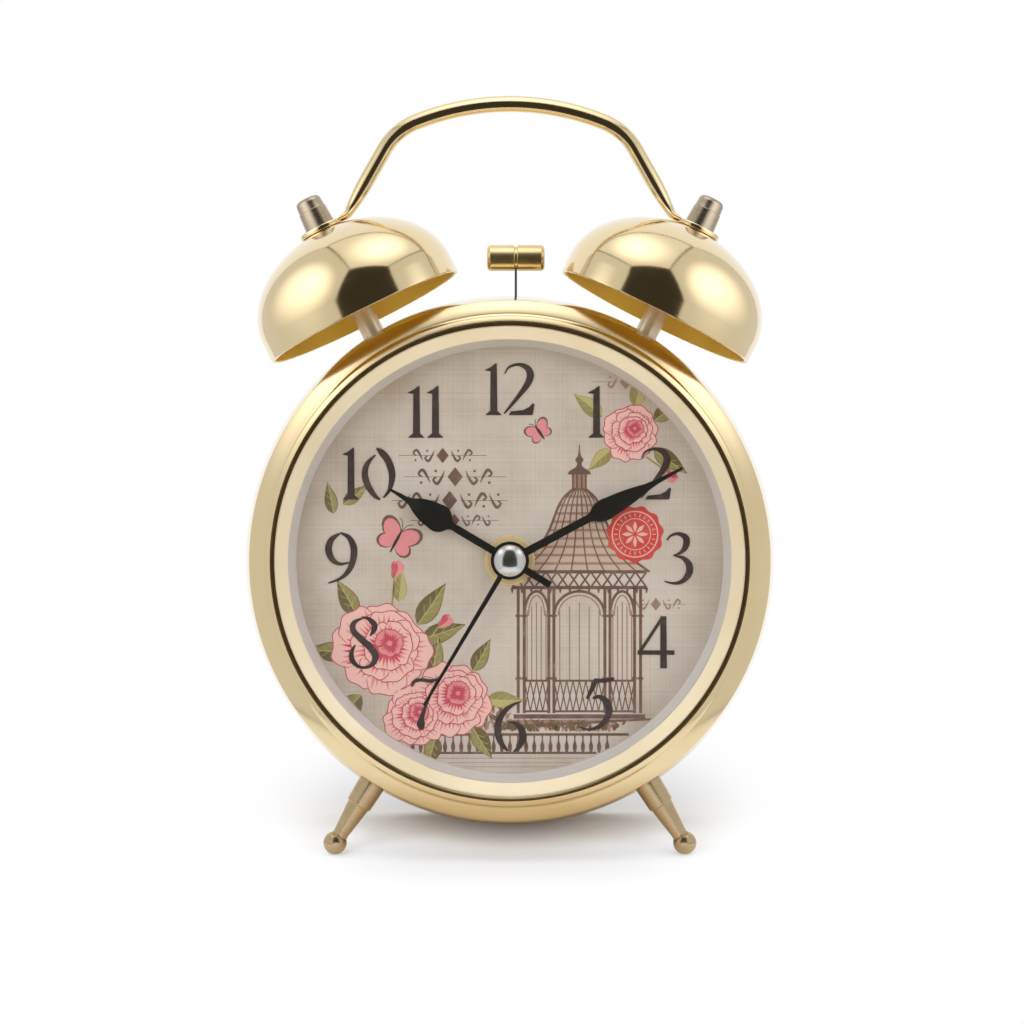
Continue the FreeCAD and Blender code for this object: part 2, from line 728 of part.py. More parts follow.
def pillar_places():
    """The x and z of the four pillars that take the back cover's screws."""
    return [(x, z) for x in (-PILLAR_X, PILLAR_X) for z in (-PILLAR_Z, PILLAR_Z)]


def movement_carrier():
    """The moulded plate behind the dial: a rim in front, four screw pillars behind."""
    body = disc(0, 0, CARRIER_R, DIAL_BACK_Y, CARRIER_BACK_Y)
    rim = disc(0, 0, CARRIER_R, LENS_BACK_Y + DIAL_RING_FLANGE_T, DIAL_BACK_Y)
    rim = rim.cut(disc(0, 0, CARRIER_R - CARRIER_RIM_T, LENS_BACK_Y, DIAL_BACK_Y))
    pillars = [disc(x, z, PILLAR_R, DIAL_BACK_Y, COVER_FRONT_Y) for x, z in pillar_places()]
    body = joined(body, rim, *pillars)
    for x, z in pillar_places():
        body = body.cut(disc(x, z, SCREW_R, COVER_FRONT_Y - SCREW_DEPTH - PART_GAP, COVER_FRONT_Y))
    return body.cut(disc(0, 0, BUSH_R + SEAT_GAP, DIAL_BACK_Y, CARRIER_BACK_Y))


# Feet
def foot_axis(side):
    """The way a foot points, away from the clock's axis."""
    x, z = clockwise(180 - FOOT_ANGLE * side)
    return Vector(x, 0, z)


def foot_root(side, out=0.0):
    """A point on a foot's axis, by its distance outside the drum."""
    return Vector(0, FOOT_Y, 0) + foot_axis(side) * (barrel_radius(FOOT_Y) + out)


def foot(side, lean_back):
    """A turned foot: tapered collar, cone and ball, a stud inside the drum and a flat to stand on."""
    cone_end = FOOT_COLLAR_L + FOOT_CONE_L
    stem = turned(foot_root(side), foot_axis(side), (0, -FOOT_COLLAR_R), (FOOT_COLLAR_R, -FOOT_COLLAR_R),
                  (FOOT_COLLAR_R, 0), (FOOT_COLLAR_END_R, FOOT_COLLAR_L), (FOOT_CONE_TOP_R, FOOT_COLLAR_L),
                  (FOOT_CONE_END_R, cone_end), (FOOT_CONE_END_R, cone_end + FOOT_CONE_IN_BALL),
                  (0, cone_end + FOOT_CONE_IN_BALL)).cut(barrel_solid(0))
    ball = Part.makeSphere(FOOT_BALL_R, ball_centre(side))
    stud = rod(foot_root(side, -STUD_INSIDE), foot_axis(side), STUD_R, STUD_INSIDE + FOOT_COLLAR_L)
    shape = joined(stem, ball, stud)
    down = Vector(0, math.sin(math.radians(lean_back)), -math.cos(math.radians(lean_back)))
    size = 4 * FOOT_BALL_R
    floor = Part.makeBox(size, size, size, Vector(-size / 2, -size / 2, 0))
    floor.Placement = FreeCAD.Placement(ball_centre(side) + down * (FOOT_BALL_R - FOOT_FLAT),
                                        FreeCAD.Rotation(UP, down)).multiply(floor.Placement)
    return shape.cut(floor)


def ball_centre(side):
    """The centre of a foot's ball."""
    return foot_root(side, FOOT_COLLAR_L + FOOT_CONE_L + FOOT_BALL_NECK)


def foot_nuts():
    """The nuts on the two feet, inside the drum."""
    nuts = []
    for side in SIDES.values():
        nuts.append(stud_nut(foot_root(side, -SHEET_T - STUD_NUT_T), foot_axis(side)))
    return Part.makeCompound(nuts)


def lean():
    """How far the clock leans back to stand on the flats of its balls and on its back bead."""
    ball = ball_centre(RIGHT_SIDE)
    back = BACK_BEAD_Y - ball.y
    lower = BACK_BEAD_CENTRE_R + ball.z
    drop = FOOT_BALL_R - FOOT_FLAT - BACK_BEAD_R
    return math.degrees(math.asin(drop / math.hypot(back, lower)) - math.atan2(lower, back))


# Gears
def involute(angle):
    """The involute of an angle in radians."""
    return math.tan(angle) - angle


def gear(teeth, module, place, front, back, turn, curved, slack):
    """A spur gear on an axis along Y; turn is the clockwise angle of one tooth's middle.

    Curved flanks are arcs through three points of the involute, straight ones join its two ends.
    """
    pitch_r = module * teeth / 2
    base_r = pitch_r * math.cos(math.radians(PRESSURE_ANGLE))
    tip_r = pitch_r + TIP_SHARE * module
    root_r = pitch_r - ROOT_SHARE * module
    pitch_half = (math.pi * module / 2 - slack) / (2 * pitch_r)

    def half_angle(radius):
        flank = math.acos(min(1.0, base_r / radius))
        return pitch_half + involute(math.radians(PRESSURE_ANGLE)) - involute(flank)

    def at(radius, angle):
        return radius * math.sin(angle), radius * math.cos(angle)

    low_r = max(root_r, base_r)
    mid_r = (low_r + tip_r) / 2
    points = []
    for tooth in range(teeth):
        middle = math.radians(turn) + 2 * math.pi * tooth / teeth
        rise = at(tip_r, middle - half_angle(tip_r))
        fall = at(low_r, middle + half_angle(low_r))
        if curved:
            rise = at(mid_r, middle - half_angle(mid_r)) + rise
            fall = at(mid_r, middle + half_angle(mid_r)) + fall
        if root_r < base_r:
            points.append(at(root_r, middle - half_angle(low_r)))
        points.append(at(low_r, middle - half_angle(low_r)))
        points.append(rise)
        points.append(at(tip_r, middle + half_angle(tip_r)))
        points.append(fall)
        if root_r < base_r:
            points.append(at(root_r, middle + half_angle(low_r)))
    shape = plate(points, front, back)
    shape.translate(Vector(place[0], 0, place[1]))
    return shape


def meshed_turn(turn, teeth, other_teeth, direction):
    """The turn of a gear that meshes with another, which lies in a clockwise direction from it."""
    offset = (direction - turn) * teeth / 360.0
    return direction + 180.0 - (0.5 - offset) * 360.0 / other_teeth


def with_holes(shape, places, radius, front, back):
    """Cut one round hole for each place."""
    for x, z in places:
        shape = shape.cut(disc(x, z, radius, front, back))
    return shape


CENTRE = (0.0, 0.0)
MINUTE_WHEEL = off(CENTRE, MINUTE_WHEEL_ANGLE, MOTION_DISTANCE)
TIME_SHAFT = (2 * MINUTE_WHEEL[0], 0.0)
ALARM_SHAFT = off(CENTRE, ALARM_SHAFT_ANGLE, MOTION_DISTANCE)
THIRD_WHEEL = off(CENTRE, THIRD_ANGLE, THIRD_DISTANCE)
STEP_WHEEL = off(CENTRE, STEP_ANGLE, STEP_DISTANCE)
ROTOR = off(STEP_WHEEL, ROTOR_ANGLE, ROTOR_DISTANCE)
TIME_SHAFT_ANGLE = math.degrees(math.atan2(TIME_SHAFT[0] - MINUTE_WHEEL[0],
                                           TIME_SHAFT[1] - MINUTE_WHEEL[1]))


def module_for(distance, teeth, other_teeth):
    """The module that fits two gears to the distance between their axes."""
    return 2 * distance / (teeth + other_teeth)


CANNON_MODULE = module_for(MOTION_DISTANCE, CANNON_TEETH, MINUTE_WHEEL_TEETH)
HOUR_MODULE = module_for(MOTION_DISTANCE, MINUTE_PINION_TEETH, HOUR_WHEEL_TEETH)
ALARM_MODULE = module_for(MOTION_DISTANCE, ALARM_PINION_TEETH, ALARM_WHEEL_TEETH)
THIRD_MODULE = module_for(THIRD_DISTANCE, SECOND_PINION_TEETH, THIRD_WHEEL_TEETH)
CENTRE_MODULE = module_for(THIRD_DISTANCE, THIRD_PINION_TEETH, CENTRE_WHEEL_TEETH)
SECOND_MODULE = module_for(STEP_DISTANCE, SECOND_WHEEL_TEETH, STEP_PINION_TEETH)
ROTOR_MODULE = module_for(ROTOR_DISTANCE, STEP_WHEEL_TEETH, ROTOR_PINION_TEETH)


# Motion work behind the dial
def cannon_pinion():
    """The minute tube with its pinion."""
    pinion = gear(CANNON_TEETH, CANNON_MODULE, CENTRE, MINUTE_WHEEL_Y - PINION_LEAD,
                  MINUTE_WHEEL_Y + WHEEL_T + PINION_TAIL, 0, True, BACKLASH)
    tube = disc(0, 0, MINUTE_TUBE_R, MINUTE_HAND_Y, CENTRE_WHEEL_Y + TRAIN_WHEEL_T + PART_GAP)
    bore = disc(0, 0, SECOND_ARBOR_R + RUN_GAP, MINUTE_HAND_Y - 1, MOVEMENT_BACK_Y)
    return joined(pinion, tube).cut(bore)


def minute_wheel():
    """The wheel that the cannon pinion drives, with the pinion that drives the hour wheel."""
    turn = meshed_turn(0, CANNON_TEETH, MINUTE_WHEEL_TEETH, MINUTE_WHEEL_ANGLE)
    wheel = gear(MINUTE_WHEEL_TEETH, CANNON_MODULE, MINUTE_WHEEL, MINUTE_WHEEL_Y, MINUTE_WHEEL_Y + WHEEL_T,
                 turn, True, BACKLASH)
    pinion = gear(MINUTE_PINION_TEETH, HOUR_MODULE, MINUTE_WHEEL, HOUR_WHEEL_Y - 2 * PINION_LEAD,
                  MINUTE_WHEEL_Y, turn, True, BACKLASH)
    x, z = MINUTE_WHEEL
    arbor = disc(x, z, ARBOR_R, CARRIER_BACK_Y + MOVEMENT_WALL + PIVOT_GAP, PLATE_Y - PIVOT_GAP)
    pivot = disc(x, z, PIVOT_R, CARRIER_BACK_Y + MOVEMENT_WALL - PIVOT_DEPTH + PIVOT_GAP,
                 REAR_HOUSING_Y - PIVOT_GAP)
    return joined(wheel, pinion, arbor, pivot)


def hour_wheel():
    """The hour wheel on its tube."""
    minute_turn = meshed_turn(0, CANNON_TEETH, MINUTE_WHEEL_TEETH, MINUTE_WHEEL_ANGLE)
    turn = meshed_turn(minute_turn, MINUTE_PINION_TEETH, HOUR_WHEEL_TEETH, MINUTE_WHEEL_ANGLE + 180)
    wheel = gear(HOUR_WHEEL_TEETH, HOUR_MODULE, CENTRE, HOUR_WHEEL_Y, HOUR_WHEEL_Y + WHEEL_T,
                 turn, True, BACKLASH)
    tube = disc(0, 0, HOUR_TUBE_R, HOUR_HAND_Y, HOUR_WHEEL_Y + WHEEL_T)
    bore = disc(0, 0, MINUTE_TUBE_R + RUN_GAP, HOUR_HAND_Y - 1, MOVEMENT_BACK_Y)
    return joined(wheel, tube).cut(bore)


def alarm_wheel():
    """The alarm wheel on its tube, just behind the movement's front plate."""
    wheel = gear(ALARM_WHEEL_TEETH, ALARM_MODULE, CENTRE, ALARM_WHEEL_Y, ALARM_WHEEL_Y + WHEEL_T,
                 0, True, BACKLASH)
    tube = disc(0, 0, ALARM_TUBE_R, ALARM_HAND_Y, ALARM_WHEEL_Y + WHEEL_T)
    bore = disc(0, 0, HOUR_TUBE_R + RUN_GAP, ALARM_HAND_Y - 1, MOVEMENT_BACK_Y)
    return joined(wheel, tube).cut(bore)


def setting_shaft(place, pinion, pinion_front):
    """A setting shaft from its front pivot, through its pinion, to the knob behind the back cover."""
    x, z = place
    front = disc(x, z, SET_FRONT_PIVOT_R, CARRIER_BACK_Y + MOVEMENT_WALL - PIVOT_DEPTH + PIVOT_GAP,
                 pinion_front)
    shaft = disc(x, z, SET_SHAFT_R, pinion_front, COVER_BACK_Y + KNOB_GAP + KNOB_BORE_DEPTH)
    return joined(pinion, front, shaft)


def time_set_shaft():
    """The time-setting shaft, in mesh with the minute wheel."""
    minute_turn = meshed_turn(0, CANNON_TEETH, MINUTE_WHEEL_TEETH, MINUTE_WHEEL_ANGLE)
    turn = meshed_turn(minute_turn, MINUTE_WHEEL_TEETH, SET_PINION_TEETH, TIME_SHAFT_ANGLE)
    front = MINUTE_WHEEL_Y - PINION_LEAD
    back = MINUTE_WHEEL_Y + WHEEL_T + PINION_LEAD
    pinion = gear(SET_PINION_TEETH, CANNON_MODULE, TIME_SHAFT, front, back,
                  turn, True, BACKLASH)
    return setting_shaft(TIME_SHAFT, pinion, front)


def alarm_set_shaft():
    """The alarm-setting shaft, in mesh with the alarm wheel."""
    turn = meshed_turn(0, ALARM_WHEEL_TEETH, ALARM_PINION_TEETH, ALARM_SHAFT_ANGLE)
    front = ALARM_WHEEL_Y - PINION_LEAD
    back = ALARM_WHEEL_Y + WHEEL_T + 2 * PINION_LEAD
    pinion = gear(ALARM_PINION_TEETH, ALARM_MODULE, ALARM_SHAFT, front, back,
                  turn, True, BACKLASH)
    return setting_shaft(ALARM_SHAFT, pinion, front)


def knob(place):
    """A fluted setting knob with a chamfered end, pressed on its shaft."""
    x, z = place
    front = COVER_BACK_Y + KNOB_GAP
    back = front + KNOB_L
    body = turned(Vector(x, front, z), BACK, (0, 0), (KNOB_R, 0), (KNOB_R, KNOB_L - KNOB_CHAMFER),
                  (KNOB_R - KNOB_CHAMFER, KNOB_L), (0, KNOB_L))
    flute_at = KNOB_R + KNOB_FLUTE_R - KNOB_FLUTE_DEPTH
    for flute in range(KNOB_FLUTES):
        flute_x, flute_z = off(place, 360 * flute / KNOB_FLUTES, flute_at)
        body = body.cut(disc(flute_x, flute_z, KNOB_FLUTE_R, front, back))
    return body.cut(disc(x, z, SET_SHAFT_R + PRESS_GAP, front,
                         front + KNOB_BORE_DEPTH + PRESS_GAP))


# Going train
def centre_wheel():
    """The wheel that turns the minute tube through a friction fit."""
    wheel = gear(CENTRE_WHEEL_TEETH, CENTRE_MODULE, CENTRE, CENTRE_WHEEL_Y, CENTRE_WHEEL_Y + TRAIN_WHEEL_T,
                 0, False, TRAIN_BACKLASH)
    return wheel.cut(disc(0, 0, MINUTE_TUBE_R + RUN_GAP, CENTRE_WHEEL_Y - 1, MOVEMENT_BACK_Y))


def train_arbor(place):
    """A train arbor between the middle plate and the rear housing, with a pivot at both ends."""
    x, z = place
    arbor = disc(x, z, ARBOR_R, REAR_HOUSING_Y + PIVOT_GAP, MOVEMENT_BACK_Y - MOVEMENT_WALL - PIVOT_GAP)
    pivot = disc(x, z, PIVOT_R, PLATE_Y + PIVOT_GAP,
                 MOVEMENT_BACK_Y - MOVEMENT_WALL + PIVOT_DEPTH - PIVOT_GAP)
    return arbor.fuse(pivot)


def third_turn():
    """The turn of the third wheel's pinion, in mesh with the centre wheel."""
    return meshed_turn(0, CENTRE_WHEEL_TEETH, THIRD_PINION_TEETH, THIRD_ANGLE)


def third_wheel():
    """The third wheel and its pinion."""
    wheel = gear(THIRD_WHEEL_TEETH, THIRD_MODULE, THIRD_WHEEL, THIRD_WHEEL_Y, THIRD_WHEEL_Y + TRAIN_WHEEL_T,
                 third_turn(), False, TRAIN_BACKLASH)
    pinion = gear(THIRD_PINION_TEETH, CENTRE_MODULE, THIRD_WHEEL, CENTRE_WHEEL_Y - TRAIN_PINION_LEAD,
                  THIRD_WHEEL_Y, third_turn(), False, TRAIN_BACKLASH)
    return joined(wheel, pinion, train_arbor(THIRD_WHEEL))


def second_turn():
    """The turn of the second wheel's pinion, in mesh with the third wheel."""
    return meshed_turn(third_turn(), THIRD_WHEEL_TEETH, SECOND_PINION_TEETH, THIRD_ANGLE + 180)


def second_wheel():
    """The long second arbor with its pinion and wheel."""
    pinion = gear(SECOND_PINION_TEETH, THIRD_MODULE, CENTRE, THIRD_WHEEL_Y - TRAIN_PINION_LEAD,
                  THIRD_WHEEL_Y + TRAIN_WHEEL_T + PINION_TAIL, second_turn(), False, TRAIN_BACKLASH)
    wheel = gear(SECOND_WHEEL_TEETH, SECOND_MODULE, CENTRE, SECOND_WHEEL_Y, SECOND_WHEEL_Y + TRAIN_WHEEL_T,
                 second_turn(), False, TRAIN_BACKLASH)
    arbor = disc(0, 0, SECOND_ARBOR_R, SECOND_HAND_Y - SECOND_ARBOR_PROUD,
                 MOVEMENT_BACK_Y - MOVEMENT_WALL - PIVOT_GAP)
    pivot = disc(0, 0, PIVOT_R, SECOND_WHEEL_Y, MOVEMENT_BACK_Y - MOVEMENT_WALL + PIVOT_DEPTH - PIVOT_GAP)
    return joined(wheel, pinion, arbor, pivot)


def step_turn():
    """The turn of the step wheel's pinion, in mesh with the second wheel."""
    return meshed_turn(second_turn(), SECOND_WHEEL_TEETH, STEP_PINION_TEETH, STEP_ANGLE)


def step_wheel():
    """The step wheel between the rotor and the second wheel."""
    pinion = gear(STEP_PINION_TEETH, SECOND_MODULE, STEP_WHEEL, SECOND_WHEEL_Y - TRAIN_PINION_LEAD,
                  STEP_WHEEL_Y, step_turn(), False, TRAIN_BACKLASH)
    wheel = gear(STEP_WHEEL_TEETH, ROTOR_MODULE, STEP_WHEEL, STEP_WHEEL_Y, STEP_WHEEL_Y + TRAIN_WHEEL_T,
                 step_turn(), False, TRAIN_BACKLASH)
    return joined(wheel, pinion, train_arbor(STEP_WHEEL))


def rotor():
    """The stepper's rotor: a round magnet and a pinion."""
    turn = meshed_turn(step_turn(), STEP_WHEEL_TEETH, ROTOR_PINION_TEETH, ROTOR_ANGLE)
    pinion = gear(ROTOR_PINION_TEETH, ROTOR_MODULE, ROTOR, STEP_WHEEL_Y - TRAIN_PINION_LEAD,
                  STEP_WHEEL_Y + TRAIN_WHEEL_T + TRAIN_PINION_LEAD, turn, False, TRAIN_BACKLASH)
    x, z = ROTOR
    magnet = disc(x, z, ROTOR_MAGNET_R, ROTOR_MAGNET_Y, ROTOR_MAGNET_Y + ROTOR_MAGNET_L)
    return joined(magnet, pinion, train_arbor(ROTOR))


# Movement case
def movement_slab(front, back):
    """The movement's rounded outline between two depths."""
    slab = block(-MOVEMENT_HALF_W, MOVEMENT_HALF_W, front, back, MOVEMENT_BOTTOM_Z, MOVEMENT_TOP_Z)
    corners = [edge for edge in slab.Edges
               if abs(edge.Vertexes[0].X - edge.Vertexes[1].X) < 1e-6
               and abs(edge.Vertexes[0].Z - edge.Vertexes[1].Z) < 1e-6]
    return slab.makeFillet(MOVEMENT_CORNER_R, corners)


def movement_room(front, back):
    """The hollow inside the movement's walls between two depths."""
    wall = MOVEMENT_WALL
    return block(-MOVEMENT_HALF_W + wall, MOVEMENT_HALF_W - wall, front, back,
                 MOVEMENT_BOTTOM_Z + wall, MOVEMENT_TOP_Z - wall)


def movement_front_housing():
    """The front half of the movement's case, with the threaded bush that holds the dial."""
    inside = CARRIER_BACK_Y + MOVEMENT_WALL
    shell = movement_slab(CARRIER_BACK_Y, PLATE_Y).cut(movement_room(inside, PLATE_Y))
    bush_front = DIAL_Y - DIAL_WASHER_T - DIAL_NUT_T
    shell = joined(shell, disc(0, 0, BUSH_R, bush_front, CARRIER_BACK_Y))
    shell = shell.cut(disc(0, 0, ALARM_TUBE_R + RUN_GAP, bush_front, inside))
    shell = with_holes(shell, [MINUTE_WHEEL], PIVOT_R + PIVOT_GAP, inside - PIVOT_DEPTH, inside)
    return with_holes(shell, [TIME_SHAFT, ALARM_SHAFT], SET_FRONT_PIVOT_R + PIVOT_GAP,
                      inside - PIVOT_DEPTH, inside)


def movement_plate():
    """The plate between the motion work and the going train."""
    body = movement_slab(PLATE_Y, REAR_HOUSING_Y)
    body = with_holes(body, [CENTRE], MINUTE_TUBE_R + RUN_GAP, PLATE_Y, REAR_HOUSING_Y)
    body = with_holes(body, [TIME_SHAFT, ALARM_SHAFT], SET_SHAFT_R + RUN_GAP, PLATE_Y, REAR_HOUSING_Y)
    return with_holes(body, [MINUTE_WHEEL, THIRD_WHEEL, STEP_WHEEL, ROTOR], PIVOT_R + PIVOT_GAP,
                      PLATE_Y, REAR_HOUSING_Y)


def movement_rear_housing():
    """The rear half of the movement's case."""
    inside = MOVEMENT_BACK_Y - MOVEMENT_WALL
    shell = movement_slab(REAR_HOUSING_Y, MOVEMENT_BACK_Y).cut(movement_room(REAR_HOUSING_Y, inside))
    shell = with_holes(shell, [TIME_SHAFT, ALARM_SHAFT], SET_SHAFT_R + RUN_GAP, inside, MOVEMENT_BACK_Y)
    return with_holes(shell, [CENTRE, THIRD_WHEEL, STEP_WHEEL, ROTOR], PIVOT_R + PIVOT_GAP,
                      inside, inside + PIVOT_DEPTH)


def stepper_stator():
    """The flat stator, which carries the coil's flux round the rotor."""
    left, right = STATOR_LEFT_X, STATOR_RIGHT_X
    body = plate([(left, STATOR_BOTTOM_Z), (left + STATOR_LEG, STATOR_BOTTOM_Z),
                  (left + STATOR_LEG, STATOR_HEAD_BOTTOM_Z), (right - STATOR_LEG, STATOR_HEAD_BOTTOM_Z),
                  (right - STATOR_LEG, STATOR_BOTTOM_Z), (right, STATOR_BOTTOM_Z), (right, STATOR_TOP_Z),
                  (STATOR_HEAD_LEFT_X, STATOR_TOP_Z),
                  (STATOR_HEAD_LEFT_X, STATOR_HEAD_BOTTOM_Z + STATOR_STEP),
                  (left, STATOR_HEAD_BOTTOM_Z + STATOR_STEP)], STATOR_Y, STATOR_Y + STATOR_T)
    return with_holes(body, [ROTOR], ROTOR_MAGNET_R + STATOR_AIR_GAP, STATOR_Y, STATOR_Y + STATOR_T)


def stepper_coil():
    """The coil's winding on its flat core, which lies on the stator's two legs."""
    low = STATOR_Y + STATOR_T
    centre_z = STATOR_BOTTOM_Z + CORE_W / 2 + CORE_RISE
    core = block(STATOR_LEFT_X, STATOR_RIGHT_X, low, low + STATOR_T,
                 centre_z - CORE_W / 2, centre_z + CORE_W / 2)
    middle = (STATOR_LEFT_X + STATOR_RIGHT_X) / 2
    winding = rod(Vector(middle - COIL_L / 2, low + STATOR_T / 2, centre_z), RIGHT, COIL_R, COIL_L)
    return joined(winding, core)


def circuit_board():
    """The small board with its chip, on the back of the middle plate."""
    low = MOVEMENT_BOTTOM_Z + MOVEMENT_WALL
    board = block(BOARD_LEFT_X, BOARD_LEFT_X + BOARD_W, REAR_HOUSING_Y, REAR_HOUSING_Y + BOARD_T,
                  low, low + BOARD_H)
    chip_z = low + BOARD_H / 2
    chip_x = BOARD_LEFT_X + CHIP_AT
    chip = block(chip_x - CHIP_W / 2, chip_x + CHIP_W / 2, REAR_HOUSING_Y + BOARD_T,
                 REAR_HOUSING_Y + BOARD_T + CHIP_T, chip_z - CHIP_W / 2, chip_z + CHIP_W / 2)
    return joined(board, chip)


def quartz_crystal():
    """The crystal's round can, lying on the board."""
    low = MOVEMENT_BOTTOM_Z + MOVEMENT_WALL + BOARD_H / 2
    start = Vector(BOARD_LEFT_X + CRYSTAL_AT, REAR_HOUSING_Y + BOARD_T + CRYSTAL_R, low)
    return rod(start, RIGHT, CRYSTAL_R, CRYSTAL_L)


def dial_washer():
    """The washer on the dial, round the bush."""
    washer = disc(0, 0, DIAL_WASHER_R, DIAL_Y - DIAL_WASHER_T, DIAL_Y)
    return washer.cut(disc(0, 0, BUSH_R + SEAT_GAP, 0, DIAL_Y))


def dial_nut():
    """The round nut that clamps the dial to the movement, with two spanner notches."""
    back = DIAL_Y - DIAL_WASHER_T
    nut = disc(0, 0, DIAL_NUT_R, back - DIAL_NUT_T, back).cut(disc(0, 0, BUSH_R + SEAT_GAP, 0, back))
    notch = block(-DIAL_NUT_R, DIAL_NUT_R, back - DIAL_NUT_T, back - DIAL_NUT_T / 2,
                  -DIAL_NUT_NOTCH / 2, DIAL_NUT_NOTCH / 2)
    return nut.cut(notch)


# Hands
def hand(half_outline, boss_r, bore_r, front, thickness, angle):
    """A flat hand: a boss with a blade, from one half of the blade's outline of half-width and height."""
    right_half = outline(*half_outline)
    right_half.rotate(Vector(), RIGHT, 90)
    right_half.translate(Vector(0, front, 0))
    blade = right_half.extrude(Vector(0, thickness, 0))
    blade = joined(blade, mirrored(blade), disc(0, 0, boss_r, front, front + thickness))
    blade = blade.cut(disc(0, 0, bore_r, front, front + thickness))
    blade.rotate(Vector(), BACK, angle)
    return blade


def second_hand():
    """The thin tapered second hand."""
    return hand([(0, 0), (SECOND_HALF_W, 0), (SECOND_TIP_HALF_W, SECOND_LENGTH), (0, SECOND_LENGTH)],
                CAP_R - SECOND_BOSS_IN, SECOND_ARBOR_R + PRESS_GAP,
                SECOND_HAND_Y, SECOND_HAND_T, SECOND_ANGLE)


def leaf(half, length):
    """The half outline of a leaf-shaped hand, from half-widths and shares of its length."""
    steps = [(0, 0)]
    for step in half + [(0, 1.0)]:
        scaled = [value * length if place % 2 else value for place, value in enumerate(step)]
        steps.append(tuple(scaled))
    return steps


def minute_hand():
    """The leaf-shaped minute hand."""
    return hand(leaf(MINUTE_HALF, MINUTE_LENGTH), MINUTE_BOSS_R, MINUTE_TUBE_R + PRESS_GAP,
                MINUTE_HAND_Y, HAND_T, MINUTE_ANGLE)


def hour_hand():
    """The broader leaf-shaped hour hand."""
    return hand(leaf(HOUR_HALF, HOUR_LENGTH), HOUR_BOSS_R, HOUR_TUBE_R + PRESS_GAP,
                HOUR_HAND_Y, HAND_T, HOUR_ANGLE)


def alarm_hand():
    """The short square-ended alarm hand."""
    half = [(0, 0), (ALARM_HALF_W, 0), (ALARM_HALF_W, ALARM_LENGTH), (0, ALARM_LENGTH)]
    return hand(half, ALARM_BOSS_R, ALARM_TUBE_R + PRESS_GAP, ALARM_HAND_Y, HAND_T, ALARM_ANGLE)


def hub_cap():
    """The domed cap on the second arbor."""
    dome = SECOND_HAND_Y - CAP_FRONT_Y
    shoulder_r, shoulder_y = CAP_R * CAP_SHOULDER[0], CAP_FRONT_Y + dome * CAP_SHOULDER[1]
    cap = ring((0, CAP_FRONT_Y), (shoulder_r, shoulder_y, CAP_R, SECOND_HAND_Y - CAP_RIM),
               (CAP_R, SECOND_HAND_Y), (0, SECOND_HAND_Y))
    return cap.cut(disc(0, 0, SECOND_ARBOR_R + PRESS_GAP, SECOND_HAND_Y - CAP_BORE_DEPTH, SECOND_HAND_Y))


# Hammer and motor
def hammer_head():
    """The round hammer head, with a fine groove round its middle."""
    half = HAMMER_HEAD_L / 2
    edge = HAMMER_HEAD_ROUND
    bend = edge * (1 - math.sqrt(0.5))
    foot_point = Vector(HAMMER_X - half, BELL_PLANE_Y, HAMMER_HEAD_Z)
    head = turned(foot_point, RIGHT, (0, 0), (HAMMER_HEAD_R - edge, 0),
                  (HAMMER_HEAD_R - bend, bend, HAMMER_HEAD_R, edge),
                  (HAMMER_HEAD_R, half - HAMMER_GROOVE / 2),
                  (HAMMER_HEAD_R - HAMMER_GROOVE_DEPTH, half - HAMMER_GROOVE / 2),
                  (HAMMER_HEAD_R - HAMMER_GROOVE_DEPTH, half + HAMMER_GROOVE / 2),
                  (HAMMER_HEAD_R, half + HAMMER_GROOVE / 2), (HAMMER_HEAD_R, HAMMER_HEAD_L - edge),
                  (HAMMER_HEAD_R - bend, HAMMER_HEAD_L - bend, HAMMER_HEAD_R - edge, HAMMER_HEAD_L),
                  (0, HAMMER_HEAD_L))
    slot_top = HAMMER_HEAD_Z + HAMMER_STRIP_TOP + 2 * SEAT_GAP
    return head.cut(strip(HAMMER_HEAD_Z - HAMMER_HEAD_R, slot_top, SEAT_GAP))


def strip(low, high, gap=0.0):
    """The hammer's spring strip between two heights."""
    half = HAMMER_STRIP / 2 + gap
    depth = HAMMER_STRIP_W / 2 + gap
    return block(HAMMER_X - half, HAMMER_X + half, BELL_PLANE_Y - depth, BELL_PLANE_Y + depth, low, high)


def hammer_arm():
    """The strip with the hub on the pivot pin and the fork round the motor's crank pin."""
    hub_front = BELL_PLANE_Y - HAMMER_HUB_L / 2
    hub = disc(HAMMER_X, HAMMER_PIVOT_Z, HAMMER_HUB_R, hub_front, hub_front + HAMMER_HUB_L)
    low = HAMMER_PIVOT_Z - FORK_DEPTH
    top = HAMMER_PIVOT_Z - FORK_TOP
    front, back = BELL_PLANE_Y - HAMMER_STRIP_W / 2, BELL_PLANE_Y + HAMMER_STRIP_W / 2
    outside = FORK_GAP / 2 + FORK_PRONG
    bar = block(HAMMER_X - outside, HAMMER_X + outside, front, back, top - FORK_PRONG, top)
    neck = block(HAMMER_X - FORK_PRONG, HAMMER_X + FORK_PRONG, front, back, top - FORK_PRONG, HAMMER_PIVOT_Z)
    prongs = []
    for side in SIDES.values():
        inner = HAMMER_X + side * FORK_GAP / 2
        outer = HAMMER_X + side * outside
        prongs.append(block(min(inner, outer), max(inner, outer), front, back, low, top))
    arm = joined(strip(HAMMER_PIVOT_Z, HAMMER_HEAD_Z + HAMMER_STRIP_TOP), hub, neck, bar, *prongs)
    return arm.cut(disc(HAMMER_X, HAMMER_PIVOT_Z, HAMMER_PIN_R + PIVOT_GAP, 0, BRACKET_FRONT_Y))


